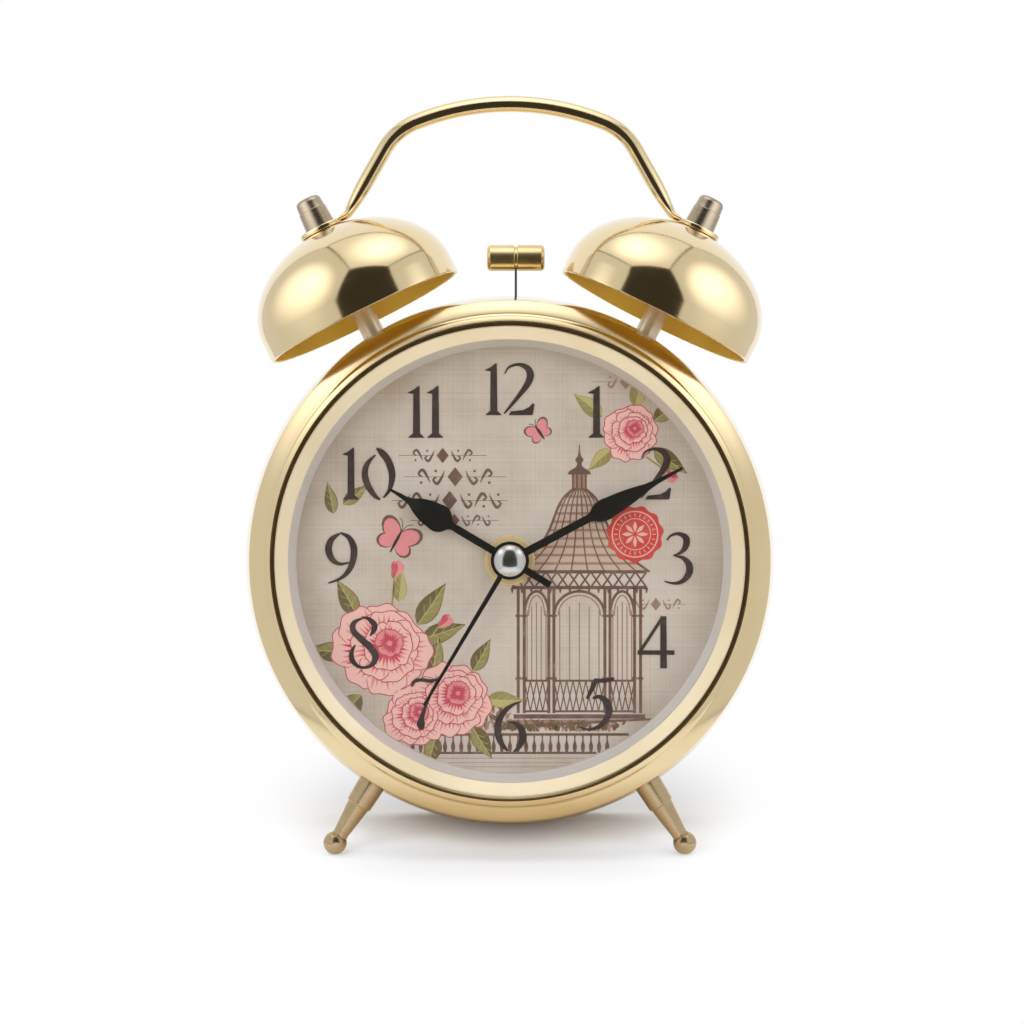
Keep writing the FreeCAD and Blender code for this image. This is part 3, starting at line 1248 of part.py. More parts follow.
def hammer_bracket():
    """The sheet bracket on the carrier, with the hammer's pivot pin and the motor's seat."""
    left, right = HAMMER_X - BRACKET_HALF_W, HAMMER_X + BRACKET_HALF_W
    low, high = MOTOR_Z - BRACKET_BELOW_MOTOR, HAMMER_PIVOT_Z + BRACKET_ABOVE_PIVOT
    back = BRACKET_FRONT_Y + BRACKET_T
    web = block(left, right, BRACKET_FRONT_Y, back, low, high)
    legs = [block(left, left + BRACKET_LEG, CARRIER_BACK_Y, BRACKET_FRONT_Y, low, high),
            block(right - BRACKET_LEG, right, CARRIER_BACK_Y, BRACKET_FRONT_Y, low, high)]
    pin = disc(HAMMER_X, HAMMER_PIVOT_Z, HAMMER_PIN_R, CARRIER_BACK_Y + PART_GAP, back)
    body = joined(web, pin, *legs)
    return body.cut(disc(HAMMER_X, MOTOR_Z, MOTOR_SHAFT_R + PIVOT_GAP, BRACKET_FRONT_Y, back))


def bell_motor():
    """The small round motor behind the bracket, with a bearing hole for its shaft."""
    front = BRACKET_FRONT_Y + BRACKET_T
    body = disc(HAMMER_X, MOTOR_Z, MOTOR_R, front, front + MOTOR_L)
    rear = disc(HAMMER_X, MOTOR_Z, MOTOR_R / 3, front + MOTOR_L, front + MOTOR_L + MOTOR_BEARING_L)
    bore = disc(HAMMER_X, MOTOR_Z, MOTOR_SHAFT_R + PIVOT_GAP, front, front + MOTOR_SHAFT_IN + SHEET_T / 2)
    return joined(body, rear).cut(bore)


def motor_crank():
    """The crank on the motor's shaft, with the pin that works in the hammer's fork."""
    gap = PIVOT_GAP * 3
    back = BRACKET_FRONT_Y - gap
    front = back - CRANK_T
    web = disc(HAMMER_X, MOTOR_Z, CRANK_R, front, back)
    shaft = disc(HAMMER_X, MOTOR_Z, MOTOR_SHAFT_R, front, BRACKET_FRONT_Y + BRACKET_T + MOTOR_SHAFT_IN)
    pin = disc(HAMMER_X, MOTOR_Z + CRANK_THROW, CRANK_PIN_R, BELL_PLANE_Y - HAMMER_STRIP_W / 2, front)
    return joined(web, shaft, pin)


# Back cover and battery
DOOR_AXIS_Y = COVER_BACK_Y - DOOR_T / 2
DOOR_TOP_Z = CELL_Z + DOOR_H / 2
DOOR_AXIS_Z = DOOR_TOP_Z - DOOR_H
CELL_Y = COVER_BACK_Y - DOOR_T - CELL_GAP - CELL_R


def back_cover():
    """The moulded back, with its lip, knob holes, switch slot, battery opening and screw holes."""
    cover = disc(0, 0, COVER_R, COVER_FRONT_Y, COVER_BACK_Y)
    lip = disc(0, 0, COVER_R, COVER_FRONT_Y - COVER_LIP_L, COVER_FRONT_Y)
    lip = lip.cut(disc(0, 0, COVER_R - COVER_LIP_T, COVER_FRONT_Y - COVER_LIP_L, COVER_FRONT_Y))
    cover = joined(cover, lip)
    front, back = COVER_FRONT_Y, COVER_BACK_Y
    cover = with_holes(cover, [TIME_SHAFT, ALARM_SHAFT], SET_SHAFT_R + RUN_GAP, front, back)
    cover = with_holes(cover, pillar_places(), SCREW_R + SCREW_GAP, front, back)
    gap = PART_GAP
    cover = cover.cut(block(-DOOR_HALF_L - gap, DOOR_HALF_L + gap, front, back,
                            DOOR_AXIS_Z - DOOR_T / 2 - gap, DOOR_TOP_Z + gap))
    pin_hole = DOOR_HALF_L + DOOR_PIN_L + gap
    cover = cover.cut(rod(Vector(-pin_hole, DOOR_AXIS_Y, DOOR_AXIS_Z), RIGHT, DOOR_PIN_R + PIVOT_GAP,
                          2 * pin_hole))
    slot_l = SLIDER_NUB_L + SWITCH_TRAVEL + 2 * SLIDER_GAP
    slot_h = SLIDER_NUB_H + 2 * SLIDER_GAP
    return cover.cut(block(SWITCH_X - slot_l / 2, SWITCH_X + slot_l / 2, front, back,
                           SWITCH_Z - slot_h / 2, SWITCH_Z + slot_h / 2))


def back_cover_screws():
    """Four round-headed slotted screws."""
    screws = []
    for x, z in pillar_places():
        head = disc(x, z, SCREW_HEAD_R, COVER_BACK_Y, COVER_BACK_Y + SCREW_HEAD_T)
        rim = [edge for edge in head.Edges
               if abs(edge.BoundBox.YMin - COVER_BACK_Y - SCREW_HEAD_T) < 1e-6 and edge.Closed]
        head = head.makeFillet(SCREW_HEAD_ROUND, rim)
        shank = disc(x, z, SCREW_R, COVER_FRONT_Y - SCREW_DEPTH, COVER_BACK_Y)
        slot = block(x - SCREW_HEAD_R, x + SCREW_HEAD_R, COVER_BACK_Y + SCREW_HEAD_T - SCREW_SLOT_DEPTH,
                     COVER_BACK_Y + SCREW_HEAD_T, z - SCREW_SLOT_W / 2, z + SCREW_SLOT_W / 2)
        screws.append(joined(head, shank).cut(slot))
    return Part.makeCompound(screws)


def battery_half_room():
    """Half the length of the room in the battery box."""
    return CELL_L / 2 + BOX_END_ROOM


def battery_box():
    """The open tray for the cell, on the inside of the back cover."""
    half = battery_half_room()
    room = CELL_R + CELL_GAP
    floor_y = CELL_Y - room
    outer = block(-half - BOX_WALL, half + BOX_WALL, floor_y - BOX_WALL, COVER_FRONT_Y,
                  CELL_Z - room - BOX_WALL, CELL_Z + room + BOX_WALL)
    return outer.cut(block(-half, half, floor_y, COVER_FRONT_Y, CELL_Z - room, CELL_Z + room))


def battery_cell():
    """A plain round cell with its raised end."""
    body = turned(Vector(-CELL_L / 2, CELL_Y, CELL_Z), RIGHT, (0, 0), (CELL_R - CELL_EDGE, 0),
                  (CELL_R, CELL_EDGE), (CELL_R, CELL_L - CELL_NUB_L - CELL_EDGE),
                  (CELL_R - CELL_EDGE, CELL_L - CELL_NUB_L),
                  (CELL_NUB_R, CELL_L - CELL_NUB_L), (CELL_NUB_R, CELL_L), (0, CELL_L))
    return body


def battery_contacts():
    """The flat contact strips at both ends, each with a bow that presses on the cell."""
    half = battery_half_room()
    height = CONTACT_H / 2
    strips = []
    for side in SIDES.values():
        reach = min(CONTACT_BOW, half - CONTACT_T - CELL_L / 2 - SEAT_GAP)
        back_x = side * half
        front_x = side * (half - CONTACT_T)
        bow_x = side * (half - CONTACT_T - reach)
        face = outline((back_x, -height), (front_x, -height), (front_x, -CONTACT_BOW_HALF),
                       (bow_x, 0, front_x, CONTACT_BOW_HALF), (front_x, height), (back_x, height))
        face.rotate(Vector(), RIGHT, 90)
        face.translate(Vector(0, CELL_Y - CONTACT_H / 3, CELL_Z))
        strips.append(face.extrude(Vector(0, CONTACT_H * 2 / 3, 0)))
    return Part.makeCompound(strips)


def battery_door():
    """The door, with a round lower edge, a hinge pin at each end and a finger notch at the top."""
    half = DOOR_T / 2
    low = block(-DOOR_HALF_L, DOOR_HALF_L, DOOR_AXIS_Y - half, DOOR_AXIS_Y + half, DOOR_AXIS_Z, DOOR_TOP_Z)
    edge = rod(Vector(-DOOR_HALF_L, DOOR_AXIS_Y, DOOR_AXIS_Z), RIGHT, half, 2 * DOOR_HALF_L)
    pin_end = DOOR_HALF_L + DOOR_PIN_L
    pins = rod(Vector(-pin_end, DOOR_AXIS_Y, DOOR_AXIS_Z), RIGHT, DOOR_PIN_R, 2 * pin_end)
    door = joined(low, edge, pins)
    return door.cut(disc(0, DOOR_TOP_Z, DOOR_NOTCH_R, DOOR_AXIS_Y, COVER_BACK_Y))


def switch_rest_x():
    """The middle of the slider where it rests, at the left end of its travel."""
    return SWITCH_X - SWITCH_TRAVEL / 2


def alarm_switch_body():
    """The switch's box on the inside of the back cover, with a well for the slider."""
    outer = block(SWITCH_X - SWITCH_L / 2, SWITCH_X + SWITCH_L / 2, COVER_FRONT_Y - SWITCH_DEPTH,
                  COVER_FRONT_Y, SWITCH_Z - SWITCH_H / 2, SWITCH_Z + SWITCH_H / 2)
    well_l = SLIDER_BASE_L + SWITCH_TRAVEL + 2 * SLIDER_GAP
    well_h = SLIDER_BASE_H + 2 * SLIDER_GAP
    return outer.cut(block(SWITCH_X - well_l / 2, SWITCH_X + well_l / 2,
                           COVER_FRONT_Y - SWITCH_WELL_DEPTH, COVER_FRONT_Y,
                           SWITCH_Z - well_h / 2, SWITCH_Z + well_h / 2))


def alarm_switch_slider():
    """The slider: a base in the well and a nub that stands out of the back cover."""
    x = switch_rest_x()
    base_back = COVER_FRONT_Y - (SWITCH_WELL_DEPTH - SLIDER_BASE_T) / 2
    base = block(x - SLIDER_BASE_L / 2, x + SLIDER_BASE_L / 2, base_back - SLIDER_BASE_T, base_back,
                 SWITCH_Z - SLIDER_BASE_H / 2, SWITCH_Z + SLIDER_BASE_H / 2)
    nub = block(x - SLIDER_NUB_L / 2, x + SLIDER_NUB_L / 2, base_back, COVER_BACK_Y + SLIDER_NUB_OUT,
                SWITCH_Z - SLIDER_NUB_H / 2, SWITCH_Z + SLIDER_NUB_H / 2)
    return joined(base, nub)


def all_pieces():
    """Every node of the upright clock by name."""
    lean_back = lean()
    pieces = {
        "case_drum": case_drum(), "front_bezel": front_bezel(), "inner_bezel": inner_bezel(),
        "lens": lens(), "dial_ring": dial_ring(), "dial": dial(), "movement_carrier": movement_carrier(),
        "bell_post_nuts": bell_post_nuts(), "foot_nuts": foot_nuts(), "handle": handle(),
        "back_cover": back_cover(), "back_cover_screws": back_cover_screws(),
        "battery_box": battery_box(), "battery_cell": battery_cell(),
        "battery_contacts": battery_contacts(), "battery_door": battery_door(),
        "alarm_switch_body": alarm_switch_body(), "alarm_switch_slider": alarm_switch_slider(),
        "movement_front_housing": movement_front_housing(), "movement_plate": movement_plate(),
        "movement_rear_housing": movement_rear_housing(), "dial_nut": dial_nut(),
        "dial_washer": dial_washer(), "circuit_board": circuit_board(),
        "quartz_crystal": quartz_crystal(), "stepper_stator": stepper_stator(),
        "stepper_coil": stepper_coil(), "rotor": rotor(), "step_wheel": step_wheel(),
        "second_wheel": second_wheel(), "second_hand": second_hand(), "hub_cap": hub_cap(),
        "third_wheel": third_wheel(), "centre_wheel": centre_wheel(), "cannon_pinion": cannon_pinion(),
        "minute_hand": minute_hand(), "minute_wheel": minute_wheel(), "hour_wheel": hour_wheel(),
        "hour_hand": hour_hand(), "alarm_wheel": alarm_wheel(), "alarm_hand": alarm_hand(),
        "time_set_shaft": time_set_shaft(), "time_knob": knob(TIME_SHAFT),
        "alarm_set_shaft": alarm_set_shaft(), "alarm_knob": knob(ALARM_SHAFT),
        "hammer_head": hammer_head(), "hammer_arm": hammer_arm(), "hammer_bracket": hammer_bracket(),
        "bell_motor": bell_motor(), "motor_crank": motor_crank(),
    }
    for name, side in SIDES.items():
        pieces["bell_" + name] = bell(side)
        pieces["bell_post_" + name] = bell_post(side)
        pieces["finial_nut_" + name] = finial_nut(side)
        pieces["foot_" + name] = foot(side, lean_back)
    return pieces


def standing(pieces):
    """The placement that leans the clock back and centres its box over the origin."""
    lean_turn = FreeCAD.Placement(Vector(), FreeCAD.Rotation(RIGHT, -lean()))
    leaned = [moved(piece, lean_turn) for piece in pieces.values()]
    box = Part.makeCompound(leaned).optimalBoundingBox(False, False)
    shift = Vector(-(box.XMin + box.XMax) / 2, -(box.YMin + box.YMax) / 2, -box.ZMin)
    return FreeCAD.Placement(shift, FreeCAD.Rotation()).multiply(lean_turn)


def moved(piece, placement):
    """A copy of a piece under one more placement."""
    copy = piece.copy()
    copy.Placement = placement.multiply(copy.Placement)
    return copy


def main():
    """Build the clock and write one STEP file per node."""
    os.makedirs("parts", exist_ok=True)
    pieces = all_pieces()
    placement = standing(pieces)
    for name, piece in pieces.items():
        moved(piece, placement).exportStep("parts/" + name + ".step")
    print("nodes", len(pieces), "lean", round(lean(), 3), "placed at", placement.Base)
    return pieces, placement


PIECES, STANDING = main()
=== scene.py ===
# %% [markdown]
# This lesson dresses a twin-bell alarm clock. The packed model already holds every piece at its real
# place, so the work here is on looks: smooth turned metal, a printed dial, glass, paint and light.
# Blender works in metres. The clock's own sizes are written in millimetres and turned to metres once.

# %% Load the packed model
import json
import math
import random
from operator import attrgetter

import bmesh
import bpy
from mathutils import Matrix, Vector


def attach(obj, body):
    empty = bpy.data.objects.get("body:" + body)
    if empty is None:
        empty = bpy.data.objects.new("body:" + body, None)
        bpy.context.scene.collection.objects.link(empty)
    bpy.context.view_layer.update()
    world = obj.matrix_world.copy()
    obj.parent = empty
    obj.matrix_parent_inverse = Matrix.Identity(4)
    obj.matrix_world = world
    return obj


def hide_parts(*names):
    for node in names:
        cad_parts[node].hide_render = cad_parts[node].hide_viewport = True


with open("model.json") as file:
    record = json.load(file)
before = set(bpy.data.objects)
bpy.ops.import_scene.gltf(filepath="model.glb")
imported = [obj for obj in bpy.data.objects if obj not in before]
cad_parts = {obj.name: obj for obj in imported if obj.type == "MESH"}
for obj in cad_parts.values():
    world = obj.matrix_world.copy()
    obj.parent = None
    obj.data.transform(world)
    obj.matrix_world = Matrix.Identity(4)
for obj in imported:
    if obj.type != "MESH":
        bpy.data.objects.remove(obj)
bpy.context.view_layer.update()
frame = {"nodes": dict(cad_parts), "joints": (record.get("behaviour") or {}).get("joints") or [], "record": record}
nodes = frame["nodes"]
joints = {joint["name"]: joint for joint in frame["joints"]}

# %% [markdown]
# The clock leans back a little, so it gets a frame of its own: across, into the case, and up along the
# dial. The frame is read from the axis of the minute hand and the front of the bezel. The sizes that a
# new piece has to meet are read from the solids too, so neither can drift away from the model.

# %% The clock's own frame
MM = 0.001
ACROSS = Vector((1, 0, 0))
INWARD = Vector(joints["minute_hand_spin"]["axis"]).normalized()
UPWARD = ACROSS.cross(INWARD)
hub = Vector(joints["minute_hand_spin"]["pos_m"])
bezel_front = min((vertex.co - hub).dot(INWARD) for vertex in nodes["front_bezel"].data.vertices)
CLOCK = (Matrix.Translation(hub + INWARD * bezel_front)
         @ Matrix((ACROSS, INWARD, UPWARD)).transposed().to_4x4() @ Matrix.Scale(MM, 4))
TO_CLOCK = CLOCK.inverted()


def clock_points(node):
    """A node's points in the clock's frame, in millimetres."""
    return [TO_CLOCK @ vertex.co for vertex in nodes[node].data.vertices]


def span(node):
    """Smallest and largest radius of a node about the clock's axis, and its smallest depth."""
    points = clock_points(node)
    radii = [math.hypot(point.x, point.z) for point in points]
    return min(radii), max(radii), min(point.y for point in points)


WINDOW_R, BEVEL_R, BEVEL_Y = span("inner_bezel")
BORE_R, BEZEL_R, _ = span("front_bezel")
_, _, DIAL_Y = span("dial")
_, CONE_FLANGE_R, CONE_FRONT_Y = span("dial_ring")
print("window", round(WINDOW_R, 2), "bezel", round(BEZEL_R, 2), "dial at", round(DIAL_Y, 2))

# %% [markdown]
# Most of this clock was turned on a lathe or spun over a form, so most pieces start as an outline of
# radius and height. Real edges are never knife sharp: the tiny curve where two faces meet catches a
# line of light. So the sharp corners of an outline are eased first. Long curves are arcs through three
# points, as a drawing gives them.

# %% Eased outlines and arcs
EASED_ABOVE = math.radians(20)
TINY = 1e-6


def eased(points, radius=0.12, steps=3):
    """A closed outline with its sharp corners turned to small curves."""
    soft = []
    for index, point in enumerate(points):
        here, before, after = (Vector(p) for p in (point, points[index - 1],
                                                   points[(index + 1) % len(points)]))
        back, forth = before - here, after - here
        if back.length < TINY or forth.length < TINY or math.pi - back.angle(forth) < EASED_ABOVE:
            soft.append(here)
            continue
        reach = min(radius, 0.4 * back.length, 0.4 * forth.length)
        start, end = here + back.normalized() * reach, here + forth.normalized() * reach
        for t in (step / steps for step in range(steps + 1)):
            soft.append(start * (1 - t) ** 2 + here * 2 * t * (1 - t) + end * t ** 2)
    return soft


def arc(start, middle, end, steps=12):
    """Points of the circle through three points, from the first to the last."""
    a, b, c = Vector(start), Vector(middle), Vector(end)
    d = 2 * (a.x * (b.y - c.y) + b.x * (c.y - a.y) + c.x * (a.y - b.y))
    centre = Vector((a.length_squared * (b.y - c.y) + b.length_squared * (c.y - a.y)
                     + c.length_squared * (a.y - b.y),
                     a.length_squared * (c.x - b.x) + b.length_squared * (a.x - c.x)
                     + c.length_squared * (b.x - a.x))) / d
    turn = (a - centre).angle_signed(b - centre) + (b - centre).angle_signed(c - centre)
    return [centre + Matrix.Rotation(-turn * step / steps, 2) @ (a - centre)
            for step in range(steps + 1)]


def round_about(centre, radius, first, last, steps=20):
    """Points round a centre from one angle to another, in degrees."""
    angles = [math.radians(first + (last - first) * step / steps) for step in range(steps + 1)]
    return [(centre[0] + radius * math.cos(a), centre[1] + radius * math.sin(a)) for a in angles]


print("a square has", len(eased([(0, 0), (1, 0), (1, 1), (0, 1)])), "points once it is eased")

# %% [markdown]
# A form becomes a piece of the clock in one place: it is welded, smoothed and moved from the clock's
# frame to the scene's, put on the body that carries it, and given a finish, which is that of its slot
# unless another is named. Weighted normals keep its large faces flat beside the eased edges.

# %% From a form to a piece
FINISHES = {}
WELDED_WITHIN, SLIVER = 1e-4, 1e-5


def mesh_of(name, form):
    """A mesh with the faces of a form, which is let go."""
    mesh = bpy.data.meshes.new(name)
    form.to_mesh(mesh)
    form.free()
    return mesh


def closed_mesh(name, form, sharp=40):
    """Weld, orient and smooth a form, and move it from the clock's frame to the scene's."""
    bmesh.ops.remove_doubles(form, verts=form.verts, dist=WELDED_WITHIN)
    bmesh.ops.dissolve_degenerate(form, edges=form.edges, dist=SLIVER)
    bmesh.ops.recalc_face_normals(form, faces=form.faces)
    for face in form.faces:
        face.smooth = True
    for edge in form.edges:
        edge.smooth = edge.calc_face_angle(0.0) < math.radians(sharp)
    mesh = mesh_of(name, form)
    mesh.transform(CLOCK)
    return mesh


def placed(name, data):
    """A new object in the scene."""
    piece = bpy.data.objects.new(name, data)
    bpy.context.scene.collection.objects.link(piece)
    return piece


def finished(piece, finish):
    piece.data.materials.clear()
    piece.data.materials.append(FINISHES[finish])
    return piece


def shown(name, mesh, body, slot, node=None, finish=None):
    """Put a finished mesh in the scene as a piece that rides on a body, in place of its node."""
    piece = placed(name, mesh)
    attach(piece, body)
    if node:
        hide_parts(node)
    return finished(piece, finish or slot)


def flat_normals(piece):
    """Keep large faces flat beside eased edges."""
    piece.modifiers.new("flat_faces", "WEIGHTED_NORMAL").keep_sharp = True
    return piece


# %% [markdown]
# Blender has a Screw modifier for turning, but it turns only about an object's own axes. A short
# function that places each ring of points itself works on any slanted axis, such as a foot's or a
# bell's. The two helpers under it, a ring and the faces between two rings, also serve for the
# handle's wire, the knobs and everything flat.

# %% Turned pieces
FINE = 192


def ring_of(form, centre, wide, high, around):
    """Points of an ellipse round a centre, from its two half-axes."""
    turns = (2 * math.pi * step / around for step in range(around))
    return [form.verts.new(centre + wide * math.cos(turn) + high * math.sin(turn)) for turn in turns]


def bridged(form, first, second):
    """Add the faces between two rings of as many points."""
    for step in range(len(first)):
        follow = (step + 1) % len(first)
        form.faces.new((first[step], first[follow], second[follow], second[step]))


def turned_form(outline, foot=(0, 0, 0), axis=(0, 1, 0), segments=FINE):
    """Turn a closed outline of radius and height about an axis from a foot."""
    axis = Vector(axis).normalized()
    side = axis.orthogonal().normalized()
    other = axis.cross(side)
    form = bmesh.new()
    rings = [ring_of(form, Vector(foot) + axis * height, side * max(radius, 0), other * max(radius, 0),
                     segments) for radius, height in outline]
    for index, ring in enumerate(rings):
        after = (index + 1) % len(rings)
        if max(outline[index][0], outline[after][0]) >= TINY:
            bridged(form, ring, rings[after])
    return form


def turned(name, outline, body, slot, node, foot=(0, 0, 0), axis=(0, 1, 0), segments=FINE, ease=0.12,
           finish=None):
    """A turned piece with eased edges, in place of its node."""
    form = turned_form(eased(outline, ease), foot, axis, segments)
    return flat_normals(shown(name, closed_mesh(name, form), body, slot, node, finish))


print("segments of a turned piece", FINE)

# %% [markdown]
# A finish is a small program of nodes. Wiring them one by one hides the idea, so each socket is
# wrapped in a class that knows Python's operators: 1 - mask then adds the Math node by itself. Every
# other node comes from one method that takes its type, its settings and its inputs. Places are read
# in the clock's own millimetres, from the object's coordinates, so a finish stays on its piece
# when the piece moves.

# %% Wires: shader maths written as Python
class Wire:
    """One output of a node, with Python's arithmetic on values."""

    def __init__(self, tree, socket=None):
        self.tree, self.socket = tree, socket

    def node(self, kind, settings=None, inputs=None, output=0):
        """Add a node: its settings first, then the values or wires of its sockets."""
        made = self.tree.nodes.new(kind)
        for key, value in (settings or {}).items():
            if key == "stops":
                while len(made.color_ramp.elements) < len(value):
                    made.color_ramp.elements.new(0.5)
                for element, (position, colour) in zip(made.color_ramp.elements, value):
                    element.position, element.color = position, (*colour, 1.0)
            else:
                setattr(made, key, value)
        for key, value in (inputs or {}).items():
            if isinstance(value, Wire):
                self.tree.links.new(value.socket, made.inputs[key])
            else:
                made.inputs[key].default_value = value
        return Wire(self.tree, made.outputs[output] if len(made.outputs) else None)

    def maths(self, operation, first, second=0.0):
        return self.node("ShaderNodeMath", {"operation": operation}, {0: first, 1: second})

    def __add__(self, other):
        return self.maths("ADD", self, other)

    __radd__ = __add__

    def __mul__(self, other):
        return self.maths("MULTIPLY", self, other)

    __rmul__ = __mul__

    def __sub__(self, other):
        return self.maths("SUBTRACT", self, other)

    def __rsub__(self, other):
        return self.maths("SUBTRACT", other, self)

    def __pow__(self, other):
        return self.maths("POWER", self, other)

    def __abs__(self):
        return self.maths("ABSOLUTE", self)

    def dot(self, vector):
        """How far a vector reaches along another."""
        return self.node("ShaderNodeVectorMath", {"operation": "DOT_PRODUCT"},
                         {0: self, 1: vector}, "Value")

    def between(self, low, high):
        """0 below the low value, 1 above the high one, and smooth in between."""
        return self.node("ShaderNodeMapRange", {"interpolation_type": "SMOOTHSTEP"},
                         {"Value": self, "From Min": low, "From Max": high})

    def mix(self, none, full):
        """The first colour where this value is 0, the second where it is 1."""
        colours = [c if isinstance(c, Wire) else (*c, 1.0) for c in (none, full)]
        return self.node("ShaderNodeMix", {"data_type": "RGBA"},
                         {0: self, 6: colours[0], 7: colours[1]}, 2)


print("a wire knows", [name for name in vars(Wire) if not name.startswith("_")])

# %% [markdown]
# Every finish starts alike: a material that knows where it is in the clock, and the clouds, turned
# lines and shallow relief that make a surface look real. One class keeps these together, so that a
# finish below is only a colour, a roughness and what makes them vary.

# %% A finish, its places and its grain
class Finish:
    """A material with one main shader, and the patterns that its sockets use."""

    def __init__(self, name):
        self.material = bpy.data.materials.new(name)
        self.material.use_nodes = True
        self.tree = self.material.node_tree
        self.tree.nodes.clear()
        self.start = Wire(self.tree)
        self.point = self.start.node("ShaderNodeTexCoord", None, None, "Object")
        offset = self.start.node("ShaderNodeVectorMath", {"operation": "SUBTRACT"},
                                 {0: self.point, 1: CLOCK.translation})
        self.x, self.y, self.z = (offset.dot(way / MM) for way in (ACROSS, INWARD, UPWARD))
        self.radius = (self.x * self.x + self.z * self.z) ** 0.5

    def noise(self, size, detail=3.0, rough=0.5):
        """Cloudy values from 0 to 1, about one cloud for each size in millimetres."""
        return self.start.node("ShaderNodeTexNoise", None,
                               {"Vector": self.point, "Scale": 1 / (size * MM), "Detail": detail,
                                "Roughness": rough})

    def lines(self, along, size, detail=4.0):
        """The uneven fine rings that a lathe leaves, along a value in millimetres."""
        return self.start.node("ShaderNodeTexNoise", {"noise_dimensions": "1D"},
                               {"W": along, "Scale": 1 / size, "Detail": detail})

    def bump(self, height, depth):
        """A relief of that depth in millimetres."""
        return self.start.node("ShaderNodeBump", None,
                               {"Height": height, "Distance": depth * MM, "Strength": 1.0})

    def shaded(self, **sockets):
        """Finish with one Principled shader; a socket's name is written with underscores."""
        inputs = {name.replace("_", " "): value for name, value in sockets.items()}
        shader = self.start.node("ShaderNodeBsdfPrincipled", None, inputs)
        return self.ended(shader)

    def ended(self, shader):
        self.start.node("ShaderNodeOutputMaterial", None, {"Surface": shader})
        return self.material


print("a finish knows", [name for name in vars(Finish) if not name.startswith("_")])

# %% [markdown]
# The clock is brass-plated steel, polished and lacquered, in a pale champagne gold. A mirror would
# show every lamp too clearly, and real plate never is one: buffing leaves a haze that comes and goes
# over the surface, and the lathe leaves rings too fine to count. So the roughness follows a slow
# cloud, the colour shifts by a few hundredths, and a shallow bump follows the turning.

# %% Gold finishes
GOLD, GOLD_DEEP, PALE_GOLD = (0.84, 0.68, 0.40), (0.77, 0.59, 0.31), (0.95, 0.83, 0.59)
# The deep amber of the bells' inside is painted reflection: the warm light that gold throws back and forth inside
# a bell, laid into its colour.
PAINTED_AMBER_INSIDE, PAINTED_AMBER_INSIDE_DEEP = (1.0, 0.76, 0.17), (0.97, 0.66, 0.10)
BRASS, BRASS_DEEP = (0.84, 0.66, 0.36), (0.66, 0.45, 0.18)
SILVER, SILVER_DEEP = (0.80, 0.80, 0.82), (0.62, 0.63, 0.66)
POST_ANGLE, BELL_TILT, FOOT_ANGLE = (math.radians(angle) for angle in (31.1, 26.4, 31.8))
BELL_WAY = Vector((math.sin(BELL_TILT), 0, math.cos(BELL_TILT)))
FOOT_WAY = Vector((math.sin(FOOT_ANGLE), 0, -math.cos(FOOT_ANGLE)))


def round_case(finish):
    """The way along the outline of the case, round which its rings run."""
    return finish.radius + finish.y


def along(way):
    """The way along an axis that is mirrored on the clock's other side."""
    return lambda finish: abs(finish.x) * way.x + finish.z * way.z


def polished(name, base, deep, turning, hazy=0.10, relief=0.001, metal=1.0, coat=0.7):
    """Polished plate with a soft haze and fine rings along a value that turning gives."""
    finish = Finish(name)
    cloud = finish.noise(size=14.0, detail=2.0).between(0.35, 0.75)
    smudge = finish.noise(size=3.0, detail=5.0, rough=0.6).between(0.45, 0.8)
    rings = finish.lines(turning(finish), size=0.9)
    return finish.shaded(Base_Color=(cloud * 0.35 + rings * 0.15).mix(base, deep), Metallic=metal,
                         Roughness=hazy + smudge * 0.06 + rings * 0.03,
                         Coat_Weight=coat, Coat_Roughness=0.05, Normal=finish.bump(rings, relief))


POLISHED = {  # colour, deep colour, turning, haze, relief, metal, coat
    "case_gold": (GOLD, GOLD_DEEP, round_case, 0.12),
    "bezel_gold": (GOLD, GOLD_DEEP, round_case, 0.20),
    "bevel_gold": (PALE_GOLD, GOLD, round_case, 0.42, 0.0015, 0.7),
    "bell_gold": (GOLD, GOLD_DEEP, along(BELL_WAY), 0.10, 0.0006),
    "bell_inside": (PAINTED_AMBER_INSIDE, PAINTED_AMBER_INSIDE_DEEP, along(BELL_WAY), 0.32, 0.0001, 0.5, 0.1),
    "handle_gold": (GOLD, GOLD_DEEP, attrgetter("y"), 0.12),
    "hammer_brass": (BRASS, BRASS_DEEP, attrgetter("x"), 0.30, 0.003, 1.0, 0.3),
    "cap_silver": (SILVER, SILVER_DEEP, attrgetter("radius"), 0.16, 0.002),
}
FINISHES.update({name: polished(name, *recipe) for name, recipe in POLISHED.items()})
print("polished", sorted(POLISHED))

# %% [markdown]
# The feet, the posts and the finial nuts were left nearly as the lathe made them: fine rings, a satin
# grain, and a little tarnish where fingers and air have been at them. They mirror less than the plate
# does. The washer, the hammer's spring and the metal of the movement are made in the same way.

# %% Satin metals
SATIN, NICKEL, PALE_SATIN = (0.60, 0.455, 0.27), (0.47, 0.39, 0.29), (0.86, 0.74, 0.55)
WASHER, STEEL = (0.90, 0.72, 0.40), (0.52, 0.52, 0.53)
MAGNET, COPPER = (0.22, 0.22, 0.24), (0.66, 0.30, 0.14)
TARNISHED = 0.6


def satin(name, base, turning, rough=0.22, relief=0.003, metal=1.0):
    """Turned metal with a fine satin grain, a little darker where it has tarnished."""
    finish = Finish(name)
    rings = finish.lines(turning(finish), size=0.35, detail=6.0)
    grain = finish.noise(size=0.25)
    tarnish = finish.noise(size=3.0, detail=4.0).between(0.45, 0.8)
    speckle = grain.between(0.45, 0.65)
    colour = (tarnish * 0.3 + rings * 0.2 + speckle * 0.25).mix(
        base, tuple(channel * TARNISHED for channel in base))
    return finish.shaded(Base_Color=colour, Metallic=metal, Roughness=rough + rings * 0.10,
                         Normal=finish.bump(rings * 0.7 + grain * 0.3, relief))


